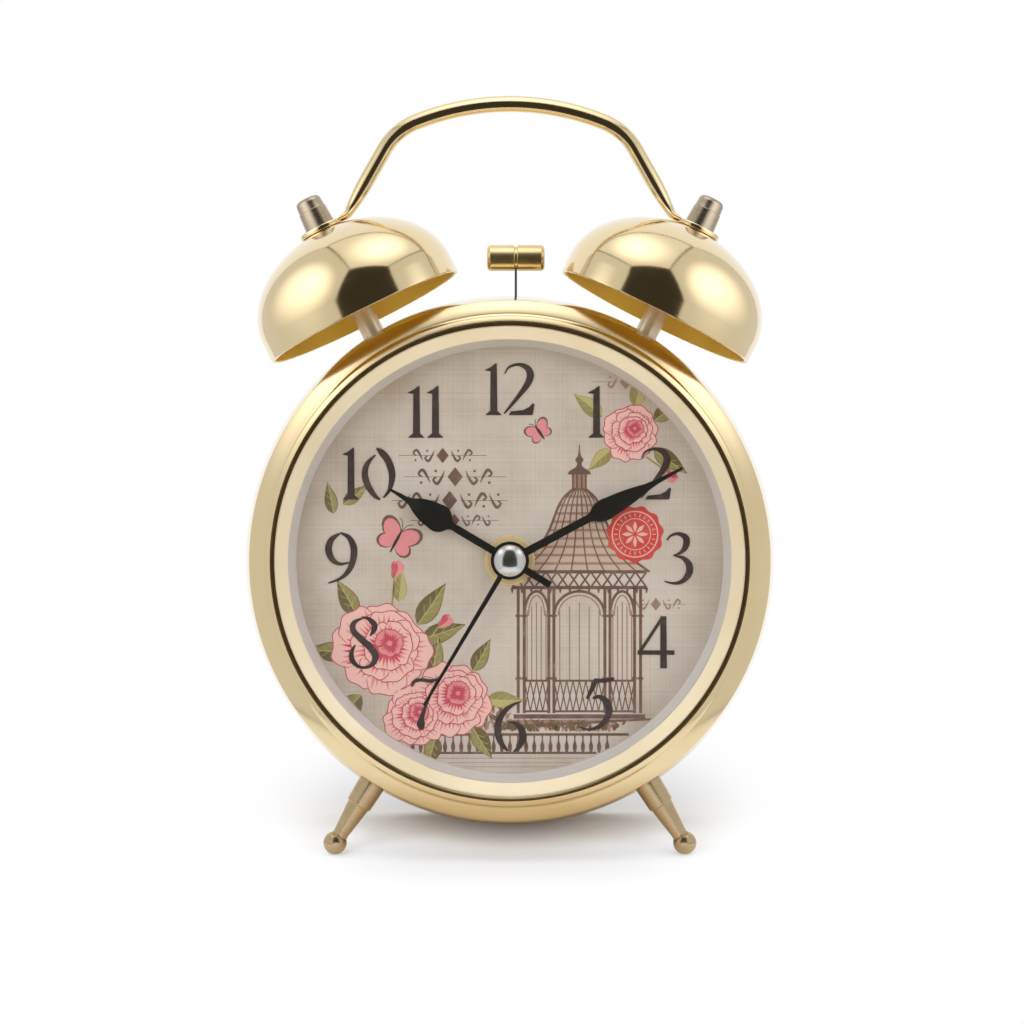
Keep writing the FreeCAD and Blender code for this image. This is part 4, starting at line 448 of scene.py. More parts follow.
SATINS = {  # colour, turning, roughness, relief, metal
    "satin_metal": (SATIN, along(FOOT_WAY), 0.19, 0.008, 0.97),
    "nut_metal": (NICKEL, along(BELL_WAY), 0.22),
    "post_metal": (PALE_SATIN, along(BELL_WAY), 0.20, 0.003, 0.6),
    "washer_brass": (WASHER, attrgetter("radius"), 0.26, 0.003, 0.4),
    "steel": (STEEL, lambda finish: finish.x + finish.z, 0.34, 0.006),
    "rotor_magnet": (MAGNET, attrgetter("y"), 0.5),
    "coil_copper": (COPPER, attrgetter("x"), 0.3, 0.05),
}
FINISHES.update({name: satin(name, *recipe) for name, recipe in SATINS.items()})
print("satin", sorted(SATINS))

# %% [markdown]
# Plastics and paint look cheap when they are one flat colour. Moulded parts carry a fine grain from
# the tool, a little dust, and a gloss that changes with it. One function makes them all, from a
# colour, a gloss and the size of the grain in millimetres.

# %% Plastics and paint
def moulded(name, base, rough, grain_size=0.3, relief=0.02, dusty=0.12, coat=0.0):
    """Moulded plastic or sprayed paint with a fine grain and a breath of dust."""
    finish = Finish(name)
    grain = finish.noise(grain_size, detail=2.0)
    dust = finish.noise(size=6.0, detail=6.0, rough=0.65).between(0.5, 0.85)
    dusted = tuple(channel + (0.5 - channel) * dusty for channel in base)
    return finish.shaded(Base_Color=(dust * 0.8).mix(base, dusted),
                         Roughness=rough + dust * 0.12 + grain * 0.05,
                         Coat_Weight=coat, Coat_Roughness=0.12, Normal=finish.bump(grain, relief))


MOULDED = {  # colour, roughness, grain size, relief, dust, coat
    "back_black": ((0.022, 0.021, 0.020), 0.48, 0.25, 0.03, 0.06),
    "knob_black": ((0.018, 0.017, 0.017), 0.26, 0.5, 0.005, 0.05),
    "hand_black": ((0.010, 0.009, 0.008), 0.34, 0.2, 0.004, 0.03),
    "ring_grey": ((0.715, 0.69, 0.68), 0.55, 0.4, 0.006, 0.1),
    "carrier_plastic": ((0.62, 0.60, 0.55), 0.5),
    "movement_plastic": ((0.05, 0.05, 0.055), 0.45),
    "gear_white": ((0.72, 0.70, 0.64), 0.4, 0.3, 0.004),
    "board_green": ((0.03, 0.16, 0.07), 0.35, 0.15, 0.004, 0.1, 0.5),
    "cell_wrap": ((0.10, 0.11, 0.13), 0.22, 0.5, 0.003, 0.05, 0.5),
}
FINISHES.update({name: moulded(name, *recipe) for name, recipe in MOULDED.items()})
print("moulded", sorted(MOULDED))

# %% [markdown]
# The lens is a flat sheet of clear glass. A full glass shader bends light through both faces and
# leaves the dial in its own shadow, which real thin glass does not do. So the lens lets light
# straight through and adds a gloss that grows towards grazing angles, as Fresnel's law has it. The
# back of each pane gives none: a ray that isn't bent would meet it as a full mirror.

# %% Clear lens
GLASS_IOR, GLOSS_GAIN = 1.45, 1.2


def clear_glass(name):
    """Thin glass: light goes straight through it, and its front face mirrors a little."""
    finish = Finish(name)
    through = finish.start.node("ShaderNodeBsdfTransparent", None, {"Color": (0.985, 0.99, 0.985, 1.0)})
    gloss = finish.start.node("ShaderNodeBsdfGlossy", None,
                              {"Color": (1.0, 1.0, 1.0, 1.0), "Roughness": 0.02})
    share = finish.start.node("ShaderNodeFresnel", None, {"IOR": GLASS_IOR})
    inner_face = finish.start.node("ShaderNodeNewGeometry", None, None, "Backfacing")
    return finish.ended(finish.start.node(
        "ShaderNodeMixShader", None, {0: share * (1 - inner_face) * GLOSS_GAIN, 1: through, 2: gloss}))


FINISHES["lens_clear"] = clear_glass("lens_clear")
print("glass of index", GLASS_IOR, "with its gloss raised", GLOSS_GAIN, "times")

# %% [markdown]
# The dial is printed paper on a stiff plate. The paper has a linen weave, a warm grey-beige that is
# never quite even, and it is a little darker towards its edge. Threads are two sets of uneven lines
# that cross, so they tint the paper and raise it by a few thousandths of a millimetre.

# %% Dial paper
PAPER, PAPER_DARK = (0.515, 0.465, 0.42), (0.38, 0.305, 0.24)
WARP_SIZE, WEFT_SIZE, THREAD_DRIFT = 0.42, 0.50, 0.3


def threads(finish):
    """Warp and weft of the linen, from 0 to 1."""
    warp = finish.lines(finish.x + finish.noise(5.0) * THREAD_DRIFT, WARP_SIZE, 2.0)
    weft = finish.lines(finish.z + finish.noise(5.0) * THREAD_DRIFT, WEFT_SIZE, 2.0)
    return (warp + weft) * 0.5


def dial_paper():
    """Linen-textured paper that has browned unevenly."""
    finish = Finish("dial_paper")
    weave = threads(finish)
    browned = finish.noise(16.0, 4.0, 0.6).between(0.35, 0.75) * 0.55
    edge = finish.radius.between(36.0, 47.0) * 0.25
    colour = (browned + edge + weave.between(0.3, 0.7) * 0.35 - 0.1).mix(PAPER, PAPER_DARK)
    return finish.shaded(Base_Color=colour, Roughness=0.72 + weave * 0.1, Normal=finish.bump(weave, 0.02))


FINISHES["dial_paper"] = dial_paper()
print("threads of", WARP_SIZE, "and", WEFT_SIZE, "mm")

# %% [markdown]
# Every CAD node that stays in view or inside gets the finish of its slot. The visible round pieces
# are made again below with smooth surfaces and eased edges, because polished metal shows the facets
# of a solid at once. A flat plate or a hidden gear looks right as it is.

# %% Finishes for the packed nodes
slot_of = {part["node"]: part["material_slot"] for part in frame["record"]["subparts"]}
for node, piece in nodes.items():
    finished(piece, slot_of[node])
print("finished", len(nodes), "nodes in", len(set(slot_of.values())), "slots")

# %% [markdown]
# A slot, a bore and two joined rings can't be turned. Blender's exact Boolean cuts and joins closed
# forms cleanly, also where their faces touch. It works on objects, so two passing objects carry the
# forms and only the result is kept. Whatever is flat starts as a prism over its outline.

# %% Prisms, cuts and joins
def carved(form, tool, operation="DIFFERENCE"):
    """Cut one closed form with another, or join the two."""
    pair = []
    for solid in (form, tool):
        bmesh.ops.remove_doubles(solid, verts=solid.verts, dist=WELDED_WITHIN)
        bmesh.ops.recalc_face_normals(solid, faces=solid.faces)
        pair.append(placed("carving", mesh_of("carving", solid)))
    cut = pair[0].modifiers.new("cut", "BOOLEAN")
    cut.object, cut.operation, cut.solver = pair[1], operation, "EXACT"
    bpy.context.view_layer.update()
    result = bmesh.new()
    result.from_object(pair[0], bpy.context.evaluated_depsgraph_get())
    for piece in pair:
        bpy.data.objects.remove(piece)
    return result


def prism(outline, low, high, stand=None):
    """A straight form over a flat outline, between two heights, then moved by a matrix."""
    form = bmesh.new()
    floor, roof = ([form.verts.new((x, y, height)) for x, y in outline] for height in (low, high))
    form.faces.new(floor)
    form.faces.new(roof)
    bridged(form, floor, roof)
    if stand:
        form.transform(stand)
    return form


disc, bore = (prism(round_about((0, 0), radius, 0, 330, 11), -radius, radius) for radius in (2, 1))
bore.transform(Matrix.Scale(3, 4, (0, 0, 1)))
trial = carved(disc, bore)
print("a bored disc has", len(trial.faces), "faces")
trial.free()

# %% [markdown]
# The drum is one sheet, rolled round, swollen like a barrel, with a bead rolled at its back edge to
# stiffen it and a flange at the front. Its outline follows the sheet all the way round, outside and
# inside. The hammer's slot is cut from the finished form, so the surface round it stays smooth.

# %% Drum
SHEET_T, BEZEL_DEPTH, LOOSE = 0.8, 3.6, 0.05
DRUM_FRONT_R, DRUM_CREST_R, DRUM_BACK_R = 55.4, 57.5, 55.6
CREST_Y, DRUM_BACK_Y = 20.5, 40.2
BEAD_CENTRE, BEAD_R, BEAD_FIRST, BEAD_LAST = (56.4, 41.6), 1.1, -128, 180
SLOT_LEFT, SLOT_RIGHT, SLOT_HALF, BELL_Y = -4.9, 6.2, 1.7, 17.0
CUT_FOOT, CUT_TOP = 50, 60

outside = arc((DRUM_FRONT_R, BEZEL_DEPTH), (DRUM_CREST_R, CREST_Y), (DRUM_BACK_R, DRUM_BACK_Y), 48)
flange_y, flange_r = BEZEL_DEPTH + SHEET_T, CONE_FLANGE_R + LOOSE
inside = [(point.x - SHEET_T, point.y) for point in reversed(outside) if point.y > flange_y]
drum_outline = (outside + round_about(BEAD_CENTRE, BEAD_R, BEAD_FIRST, BEAD_LAST, 28) + inside
                + [(inside[-1][0], flange_y), (flange_r, flange_y), (flange_r, BEZEL_DEPTH)])
slot_outline = (round_about((SLOT_RIGHT - SLOT_HALF, BELL_Y), SLOT_HALF, -90, 90)
                + round_about((SLOT_LEFT + SLOT_HALF, BELL_Y), SLOT_HALF, 90, 270))
drum_form = carved(turned_form(eased(drum_outline, 0.15), segments=2 * FINE),
                   prism(slot_outline, CUT_FOOT, CUT_TOP))
drum = shown("drum", closed_mesh("drum", drum_form), "case", "case_gold", "case_drum")
print("drum faces", len(drum.data.polygons))

# %% [markdown]
# Two rings close the front. The outer one slopes back in three bands, from the dark groove outwards:
# a narrow bead, a hollow cove, and a broad round band that meets the drum. The inner one is a flat
# bevel that leads down to the glass. Both are pale gold, and only their curves tell them apart, so
# each band is an arc given by its two ends and its bulge, and the flat bevel stays truly flat.

# %% Bezel rings, dial cone and lens
GROOVE_R, BEAD_OUT_R, COVE_OUT_R = 50.75, 51.75, 52.35
GROOVE_Y, BEAD_OUT_Y, COVE_OUT_Y, BAND_OUT_Y = 2.6, 0.5, 1.25, 3.2
LENS_FRONT_Y, LENS_BACK_Y, LENS_SEAT_R, LIP_Y, BEVEL_EDGE = 3.1, 4.6, 49.15, 2.9, 0.2
CONE_END_R, CONE_T, CONE_FLANGE_T = 46.06, 1.3, 1


def bowed(start, end, bulge, steps=16):
    """An arc between two points that bulges to the left of the way between them."""
    start, end = Vector(start), Vector(end)
    way = (end - start).normalized()
    return arc(start, (start + end) / 2 + Vector((way.y, -way.x)) * bulge, end, steps)


bezel_outline = ([(BORE_R, BEZEL_DEPTH), (BORE_R, GROOVE_Y), (GROOVE_R, GROOVE_Y)]
                 + bowed((GROOVE_R, 0), (BEAD_OUT_R, BEAD_OUT_Y), 0.03)
                 + bowed((BEAD_OUT_R, BEAD_OUT_Y), (COVE_OUT_R, COVE_OUT_Y), -0.06)[1:]
                 + bowed((COVE_OUT_R, COVE_OUT_Y), (BEZEL_R, BAND_OUT_Y), 0.20, 28)[1:]
                 + [(BEZEL_R, BEZEL_DEPTH)])
bevel_outline = [(BEVEL_R, BEVEL_Y), (BEVEL_R, LENS_BACK_Y), (LENS_SEAT_R, LENS_BACK_Y),
                 (LENS_SEAT_R, LENS_FRONT_Y), (WINDOW_R, LENS_FRONT_Y), (WINDOW_R, LIP_Y),
                 (BEVEL_R - BEVEL_EDGE, BEVEL_Y)]
cone_back_y = CONE_FRONT_Y + CONE_FLANGE_T
cone_outline = [(WINDOW_R, CONE_FRONT_Y), (CONE_FLANGE_R, CONE_FRONT_Y), (CONE_FLANGE_R, cone_back_y),
                (WINDOW_R + CONE_T, cone_back_y), (CONE_END_R + CONE_T, DIAL_Y), (CONE_END_R, DIAL_Y)]
rings = [turned("bezel", bezel_outline, "case", "case_gold", "front_bezel", segments=2 * FINE, ease=0.08,
                finish="bezel_gold"),
         turned("bevel", bevel_outline, "case", "bevel_gold", "inner_bezel", segments=2 * FINE, ease=0.1),
         turned("dial_cone", cone_outline, "case", "ring_grey", "dial_ring", ease=0.05)]
print("rings", [len(piece.data.polygons) for piece in rings])

# %% [markdown]
# Each bell is spun from sheet over a form: a short straight skirt, an elliptical dome, and a flat
# crown for the eyelet of the handle. The post goes up inside it and a tall finial nut holds handle and
# bell. All four share one slanting axis on each side, so they are turned about it in place. Faces that
# look towards the middle of the rim are the bell's inside, which is left unpolished; its deep amber is
# painted reflection, the warm light that the gold throws back and forth inside a bell.

# %% Bells, posts and finial nuts
CROWN_R, SKIRT_H, DOME_H, BELL_RIM_R, BELL_T, BORE_OF_BELL_R = 4.2, 4.0, 17.0, 22.55, 1.0, 1.6
CROWN_H = SKIRT_H + DOME_H * math.sqrt(1 - (CROWN_R / BELL_RIM_R) ** 2)
POST_SHOWN, POST_R, POST_SUNK, EYELET_R, EYELET_T = 3.96, 2.45, 2.0, 5.0, 1.1
NUT_FOOT_R, NUT_WAIST_R, NUT_TOP_R, NUT_WAIST_H, NUT_H = 3.35, 3.1, 2.97, 4.1, 6.9
NUT_ROUND_R, NUT_ROUND_AT, NUT_LAND_H, NUT_STEP_H = 1.1, 1.75, 0.15, 0.08


def drum_r(depth):
    """The drum's outer radius at a depth."""
    return min(outside, key=lambda point: abs(point.y - depth)).x


def dome(inset, steps=40):
    """The dome's outline from the skirt up to the crown."""
    wide, high = BELL_RIM_R - inset, DOME_H - inset
    last = math.degrees(math.asin((CROWN_H - inset - SKIRT_H) / high))
    angles = [math.radians(last * step / steps) for step in range(steps + 1)]
    return [(wide * math.cos(a), SKIRT_H + high * math.sin(a)) for a in angles]


def post_foot(side):
    """Where a bell's axis meets the drum."""
    reach = drum_r(BELL_Y)
    return Vector((side * reach * math.sin(POST_ANGLE), BELL_Y, reach * math.cos(POST_ANGLE)))


def bell_axis(side):
    return Vector((side * BELL_WAY.x, 0, BELL_WAY.z))


bell_outline = ([(BORE_OF_BELL_R, CROWN_H), (BORE_OF_BELL_R, CROWN_H - BELL_T)] + dome(BELL_T)[::-1]
                + [(BELL_RIM_R - BELL_T, 0), (BELL_RIM_R, 0)] + dome(0))
post_top = POST_SHOWN + CROWN_H - BELL_T
post_outline = [(0, -POST_SUNK), (POST_R, -POST_SUNK), (POST_R, post_top), (0, post_top)]
nut_outline = ([(0, 0), (NUT_FOOT_R, 0), (NUT_WAIST_R, NUT_WAIST_H - NUT_LAND_H), (NUT_WAIST_R, NUT_WAIST_H),
                (NUT_TOP_R, NUT_WAIST_H + NUT_STEP_H)]
               + round_about((NUT_ROUND_AT, NUT_H - NUT_ROUND_R), NUT_ROUND_R, 0, 90, 10) + [(0, NUT_H)])
for name, side in (("left", -1), ("right", 1)):
    foot, axis = post_foot(side), bell_axis(side)
    rim = foot + axis * POST_SHOWN
    crown = rim + axis * (CROWN_H + EYELET_T)
    bell = turned("bell_" + name + "_dome", bell_outline, "case", "bell_gold", "bell_" + name,
                  rim, axis, 2 * FINE, 0.25)
    # The inside faces take the amber finish, whose colour is painted reflection.
    bell.data.materials.append(FINISHES["bell_inside"])
    bell_middle = CLOCK @ rim
    for face in bell.data.polygons:
        face.material_index = int(face.normal.dot(face.center - bell_middle) < 0)
    turned("post_" + name, post_outline, "case", "satin_metal", "bell_post_" + name, foot, axis, 96,
           finish="post_metal")
    turned("finial_" + name, nut_outline, "case", "satin_metal", "finial_nut_" + name, crown, axis, 96, 0.15,
           finish="nut_metal")
print("bell rim at", [round(value, 1) for value in rim], "crown at", [round(value, 1) for value in crown])

# %% [markdown]
# The handle is one wire, bent to an arch and pressed flat at both ends, where a round eyelet sits
# under the finial nut. Its middle line lies in the plane of the bells and is put together from straight
# pieces and arcs: flat beside the eyelet, up the leg, round a corner and over the arch. Each arc
# starts where the piece before it ends and in the same direction, so the wire has no kink.

# %% The handle's route
WIRE_R, ARCH_TOP_Z, ARCH_R, CORNER_R = 1.75, 99.05, 55.0, 13.7
LEG_SLOPE, LEG_START, LEG_BEND_R, WIRE_LIFT = math.radians(60.5), 6.3, 3.0, 0.35
FLAT_START, FLAT_HALF_W, FLATTENED, WIDTH_PACE = 3.7, 3.0, 12.0, 2.2


def flat_arc(centre, radius, first, last, steps):
    """Points of an arc in the plane of the bells, by angles from straight across."""
    return [centre + Vector((math.cos(first + (last - first) * step / steps) * radius, 0,
                             math.sin(first + (last - first) * step / steps) * radius))
            for step in range(steps + 1)]


def handle_route():
    """The left half of the wire's middle line, from its eyelet to the top of the arch."""
    axis = bell_axis(-1)
    way_in = Vector((axis.z, 0, -axis.x))
    eyelet = post_foot(-1) + axis * (POST_SHOWN + CROWN_H + EYELET_T / 2)
    flat = eyelet + way_in * FLAT_START
    corner = eyelet + axis * WIRE_LIFT + way_in * LEG_START
    climb = Vector((math.cos(LEG_SLOPE), 0, math.sin(LEG_SLOPE)))
    inner = Vector((climb.z, 0, -climb.x))
    turn = way_in.angle(climb)
    low_end = corner - way_in * LEG_BEND_R * math.tan(turn / 2)
    low_centre = low_end + Vector((-way_in.z, 0, way_in.x)) * LEG_BEND_R
    low_first = math.atan2(low_end.z - low_centre.z, low_end.x - low_centre.x)
    arch_centre = Vector((0, BELL_Y, ARCH_TOP_Z - ARCH_R))
    base = corner + inner * CORNER_R - arch_centre
    reach = -base.dot(climb)
    reach += math.sqrt(reach ** 2 - base.length_squared + (ARCH_R - CORNER_R) ** 2)
    bend_centre = corner + inner * CORNER_R + climb * reach
    to_arch = (bend_centre - arch_centre).normalized()
    arch_first = math.atan2(to_arch.z, to_arch.x)
    leg_angle = math.atan2(-inner.z, -inner.x)
    low_bend = flat_arc(low_centre, LEG_BEND_R, low_first, low_first + turn, 10)
    corner_bend = flat_arc(bend_centre, CORNER_R, leg_angle, arch_first, 20)
    route = [flat.lerp(low_bend[0], step / 6) for step in range(6)] + low_bend
    route += [low_bend[-1].lerp(corner_bend[0], step / 24) for step in range(1, 24)] + corner_bend
    route += flat_arc(arch_centre, ARCH_R, arch_first, math.pi / 2, 24)[1:]
    return eyelet, route


eyelet, half_route = handle_route()
print("route points", len(half_route), "top", round(max(point.z for point in half_route) + WIRE_R, 2))

# %% [markdown]
# A curve object with a bevel keeps one section all along. Here the section changes from flat to
# round, so the wire is swept by hand: an ellipse at each step of the route, worked out from the
# distance along it. As the route lies in one plane, its frame is simply the depth of the clock and the
# normal of the route. The other half is a mirror image, and an exact join adds an eyelet at each end.

# %% Handle
def swept(route, sections, around=40):
    """A closed form with an elliptical section of half-width and half-height at each point."""
    form = bmesh.new()
    rings = []
    for index, (point, (wide, high)) in enumerate(zip(route, sections)):
        before, after = route[max(index - 1, 0)], route[min(index + 1, len(route) - 1)]
        way = (after - before).normalized()
        rings.append(ring_of(form, point, Vector((0, wide, 0)), Vector((-way.z, 0, way.x)) * high, around))
    for first, second in zip(rings, rings[1:]):
        bridged(form, first, second)
    form.faces.new(rings[0])
    form.faces.new(rings[-1][::-1])
    return form


def section(distance):
    """The wire's half-width and half-height: pressed flat at the eyelet, round further up the leg."""
    rise, narrow = min(distance / FLATTENED, 1), min(WIDTH_PACE * distance / FLATTENED, 1)
    high = EYELET_T / 2 + (WIRE_R - EYELET_T / 2) * math.sin(rise * math.pi / 2)
    return FLAT_HALF_W + (WIRE_R - FLAT_HALF_W) * (1 - math.cos(math.pi * narrow)) / 2, high


distances = [0.0]
for before, after in zip(half_route, half_route[1:]):
    distances.append(distances[-1] + (after - before).length)
half_sections = [section(distance) for distance in distances]
mirrored = [Vector((-point.x, point.y, point.z)) for point in half_route[-2::-1]]
handle_form = swept(half_route + mirrored, half_sections + half_sections[-2::-1])
ring = [(BORE_OF_BELL_R, 0), (EYELET_R, 0), (EYELET_R, EYELET_T), (BORE_OF_BELL_R, EYELET_T)]
for side in (-1, 1):
    axis = bell_axis(side)
    foot = Vector((-eyelet.x * side, BELL_Y, eyelet.z)) - axis * EYELET_T / 2
    handle_form = carved(handle_form, turned_form(eased(ring, 0.3), foot, axis, 96), "UNION")
handle = shown("handle_wire", closed_mesh("handle_wire", handle_form, 50), "case", "handle_gold", "handle")
print("wire length", round(2 * distances[-1], 1), "faces", len(handle.data.polygons))

# %% [markdown]
# The two feet are turned in one piece: a tapered collar, a cone and a ball. The ball is filed to a tiny
# flat where it stands, so the points below the ground line are brought up to it.

# %% Feet
COLLAR_R, COLLAR_END_R, COLLAR_L, FOOT_SUNK = 2.95, 2.75, 5.3, 1.6
CONE_TOP_R, CONE_TIP_R, CONE_L, STEP_R, STEP_L, STEP_FLAT = 2.4, 1.67, 6.9, 0.06, 0.2, 0.12
BALL_R, BALL_NECK, FOOT_Y = 2.5, 2.6, 8.5
ball_at = COLLAR_L + CONE_L + BALL_NECK
neck_angle = math.degrees(math.asin(CONE_TIP_R / BALL_R))
foot_outline = ([(0, -FOOT_SUNK), (COLLAR_R, -FOOT_SUNK), (COLLAR_R, 0), (COLLAR_END_R, COLLAR_L - STEP_L),
                 (CONE_TOP_R + STEP_R, COLLAR_L), (CONE_TOP_R + STEP_R, COLLAR_L + STEP_FLAT),
                 (CONE_TOP_R, COLLAR_L + STEP_L), (CONE_TIP_R, COLLAR_L + CONE_L)]
                + round_about((0, ball_at), BALL_R, -90 + neck_angle, 90, 32))
for name, side in (("left", -1), ("right", 1)):
    axis = Vector((side * FOOT_WAY.x, 0, FOOT_WAY.z))
    root = Vector((0, FOOT_Y, 0)) + axis * drum_r(FOOT_Y)
    piece = turned("foot_" + name + "_turned", foot_outline, "case", "satin_metal", "foot_" + name, root,
                   axis, 96)
    for vertex in piece.data.vertices:
        vertex.co.z = max(vertex.co.z, 0.0)
    print("foot", name, "stands at", round(min(vertex.co.z for vertex in piece.data.vertices), 5))

# %% [markdown]
# The hammer head is a small brass drum with round shoulders and a groove, turned about its own
# length. The strip that carries it is flat spring steel, which the packed node shows well.

# %% Hammer head
HEAD_X, HEAD_Z, HEAD_L, HEAD_R, SHOULDER_R, GROOVE = 1.3, 65.6, 12.5, 2.8, 0.9, 0.35
half = HEAD_L / 2
head_outline = ([(0, 0)] + round_about((HEAD_R - SHOULDER_R, SHOULDER_R), SHOULDER_R, -90, 0, 8)
                + [(HEAD_R, half - GROOVE), (HEAD_R - GROOVE, half - GROOVE),
                   (HEAD_R - GROOVE, half + GROOVE), (HEAD_R, half + GROOVE)]
                + round_about((HEAD_R - SHOULDER_R, HEAD_L - SHOULDER_R), SHOULDER_R, 0, 90, 8)
                + [(0, HEAD_L)])
turned("hammer_drum", head_outline, "hammer", "hammer_brass", "hammer_head", (HEAD_X - half, BELL_Y, HEAD_Z),
       (1, 0, 0), 96, 0.1)
print("hammer head", HEAD_L, "by", 2 * HEAD_R)

# %% [markdown]
# Clock hands are stamped from thin sheet and lacquered. Stamping rounds the front edge a little, and
# that edge line is what the eye reads as thickness, so each hand is a flat prism with a bevel. The
# outline holds one half of the blade, and the boss is a circle that joins it.

# %% Hands
HAND_EDGE = 0.09


def turned_to(angle, depth):
    """A flat form drawn with up as 12 o'clock, turned clockwise and set at a depth."""
    stand = Matrix(((1, 0, 0, 0), (0, 0, 1, depth), (0, 1, 0, 0), (0, 0, 0, 1)))
    return Matrix.Rotation(math.radians(angle), 4, "Y") @ stand


def blade(half_outline, boss_r):
    """A hand's whole outline: the boss, then up one side of the blade and down the other."""
    wide = half_outline[0][0]
    join = math.degrees(math.asin(wide / boss_r))
    boss = round_about((0, 0), boss_r, 90 - join - 360 + 2 * join, 90 - join, 64)
    right = [point for point in half_outline if point[1] > boss_r]
    left = [(-x, y) for x, y in reversed(right)]
    return boss + right + left


def curved_half(steps, length):
    """Half a leaf: heights are shares of the length, and a step of four numbers is an arc."""
    points = []
    for step in steps:
        if len(step) == 4:
            middle, end = (step[0], step[1] * length), (step[2], step[3] * length)
            points += [tuple(point) for point in arc(points[-1], middle, end, 14)[1:]]
        else:
            points.append((step[0], step[1] * length))
    return points


def hand(node, name, half_outline, boss_r, bore_r, front, thickness, angle):
    """A stamped hand with a bevelled front edge, in place of its node and on the body of that name."""
    bore = prism(round_about((0, 0), bore_r, 0, 352.5, 47), -1, thickness + 1)
    form = carved(prism(blade(half_outline, boss_r), 0, thickness), bore)
    form.transform(turned_to(angle, front))
    piece = shown(name, closed_mesh(name, form, 30), node, "hand_black", node)
    edge = piece.modifiers.new("stamped_edge", "BEVEL")
    edge.width, edge.segments, edge.limit_method = HAND_EDGE * MM, 2, "ANGLE"
    edge.angle_limit = math.radians(30)
    return flat_normals(piece)


MINUTE_HALF = [(0.85, 0), (0.85, 0.444), (0.95, 0.468, 1.5, 0.489), (2.25, 0.532, 2.2, 0.582),
               (1.75, 0.680, 0.85, 0.788), (0.55, 0.850), (0.3, 1.0)]
HOUR_HALF = [(0.83, 0), (0.83, 0.447), (0.95, 0.487, 1.7, 0.513), (2.85, 0.563, 2.85, 0.627),
             (2.2, 0.733, 0.9, 0.820), (0.55, 0.867), (0.25, 1.0)]
HANDS = {  # name, half outline, radii of boss and bore, depth, thickness, and angle from 12 o'clock
    "second_hand": ("hand_of_seconds", [(0.55, 0), (0.3, 36.0)], 2.82, 0.5, 6.8, 0.3, 210.7),
    "minute_hand": ("hand_of_minutes", curved_half(MINUTE_HALF, 41.9), 4.1, 1.0, 7.6, 0.4, 61.8),
    "hour_hand": ("hand_of_hours", curved_half(HOUR_HALF, 30.0), 3.9, 1.6, 8.8, 0.4, 300.7),
    "alarm_hand": ("hand_of_alarm", [(0.75, 0), (0.75, 10.2)], 3.6, 2.3, 10.0, 0.4, 121.4),
}
for node, drawing in HANDS.items():
    print(node, "has", len(hand(node, *drawing).data.polygons), "faces before its edge is rounded")

# %% [markdown]
# At the hub a domed silver cap hides the end of the arbor, over the black boss of the minute hand.
# Under the hands a thin brass washer lies on the dial. Its face carries fine turned rings, and as they
# show as alternate light and dark lines, they are modelled in its outline.

# %% Cap and washer
CAP_R, CAP_FRONT_Y, CAP_EDGE_Y, CAP_BACK_Y = 3.42, 5.1, 6.5, 6.8
CAP_MIDDLE_R, CAP_MIDDLE_Y = 0.62 * CAP_R, 5.542
WASHER_BORE_R, WASHER_R, WASHER_Y, WASHER_BACK_Y = 3.45, 5.4, 12.4, 12.8
RING_FIRST_R, RING_PITCH, RING_DEEP, RINGS = 3.6, 0.34, 0.07, 5
RING_LAND, RING_SLOPE, RING_FLOOR = 0.17, 0.22, 0.29  # where each of them ends, from a ring's start
cap_dome = arc((0.001, CAP_FRONT_Y), (CAP_MIDDLE_R, CAP_MIDDLE_Y), (CAP_R, CAP_EDGE_Y), 20)
cap_outline = [(0, CAP_FRONT_Y)] + cap_dome[1:] + [(CAP_R, CAP_BACK_Y), (0, CAP_BACK_Y)]
turned("cap", cap_outline, "second_hand", "cap_silver", "hub_cap", segments=128, ease=0.06)
washer_outline = [(WASHER_BORE_R, WASHER_BACK_Y), (WASHER_BORE_R, WASHER_Y)]
for index in range(RINGS):
    start = RING_FIRST_R + RING_PITCH * index
    washer_outline += [(start, WASHER_Y), (start + RING_LAND, WASHER_Y),
                       (start + RING_SLOPE, WASHER_Y + RING_DEEP),
                       (start + RING_FLOOR, WASHER_Y + RING_DEEP)]
washer_outline += [(WASHER_R, WASHER_Y), (WASHER_R, WASHER_BACK_Y)]
turned("washer", washer_outline, "case", "washer_brass", "dial_washer", segments=128, ease=0.03)
print("cap front at", CAP_FRONT_Y, "washer rings", RINGS)

# %% [markdown]
# Ink is not a picture laid on the dial here: every colour is a thin closed form that stands a little
# proud of the paper, a fifth of a millimetre at most. Each colour has its own small step, so that one
# covers the next, and forms of one colour take turns in finer steps, so that none coincide. All of it
# is kept inside the circle that the cone leaves open.

# %% Inks
PRINT_LIMIT, INK_SEAT = 45.8, 0.05
INK_STEP, LAYER_STEP, TURN_STEP, TURNS = 0.003, 0.012, 0.0003, 8
NUMERAL_LAYER = 13
INKS = {
    "sepia_pale": (0.47, 0.345, 0.27), "sepia_mid": (0.27, 0.155, 0.115), "sepia": (0.118, 0.055, 0.042),
    "leaf_dark": (0.115, 0.085, 0.025), "leaf": (0.235, 0.200, 0.060), "leaf_pale": (0.40, 0.345, 0.130),
    "rose_line": (0.38, 0.050, 0.085), "rose_pale": (0.70, 0.415, 0.375), "rose": (0.62, 0.205, 0.225),
    "rose_deep": (0.50, 0.036, 0.075), "seal_red": (0.50, 0.030, 0.030), "seal_pale": (0.66, 0.36, 0.31),
    "numeral": (0.033, 0.020, 0.019),
}
ink_forms = {name: ([], [], []) for name in INKS}


def held(x, z):
    """A point brought inside the open circle of the dial."""
    reach = math.hypot(x, z)
    share = min(1.0, PRINT_LIMIT / reach) if reach else 1.0
    return x * share, z * share


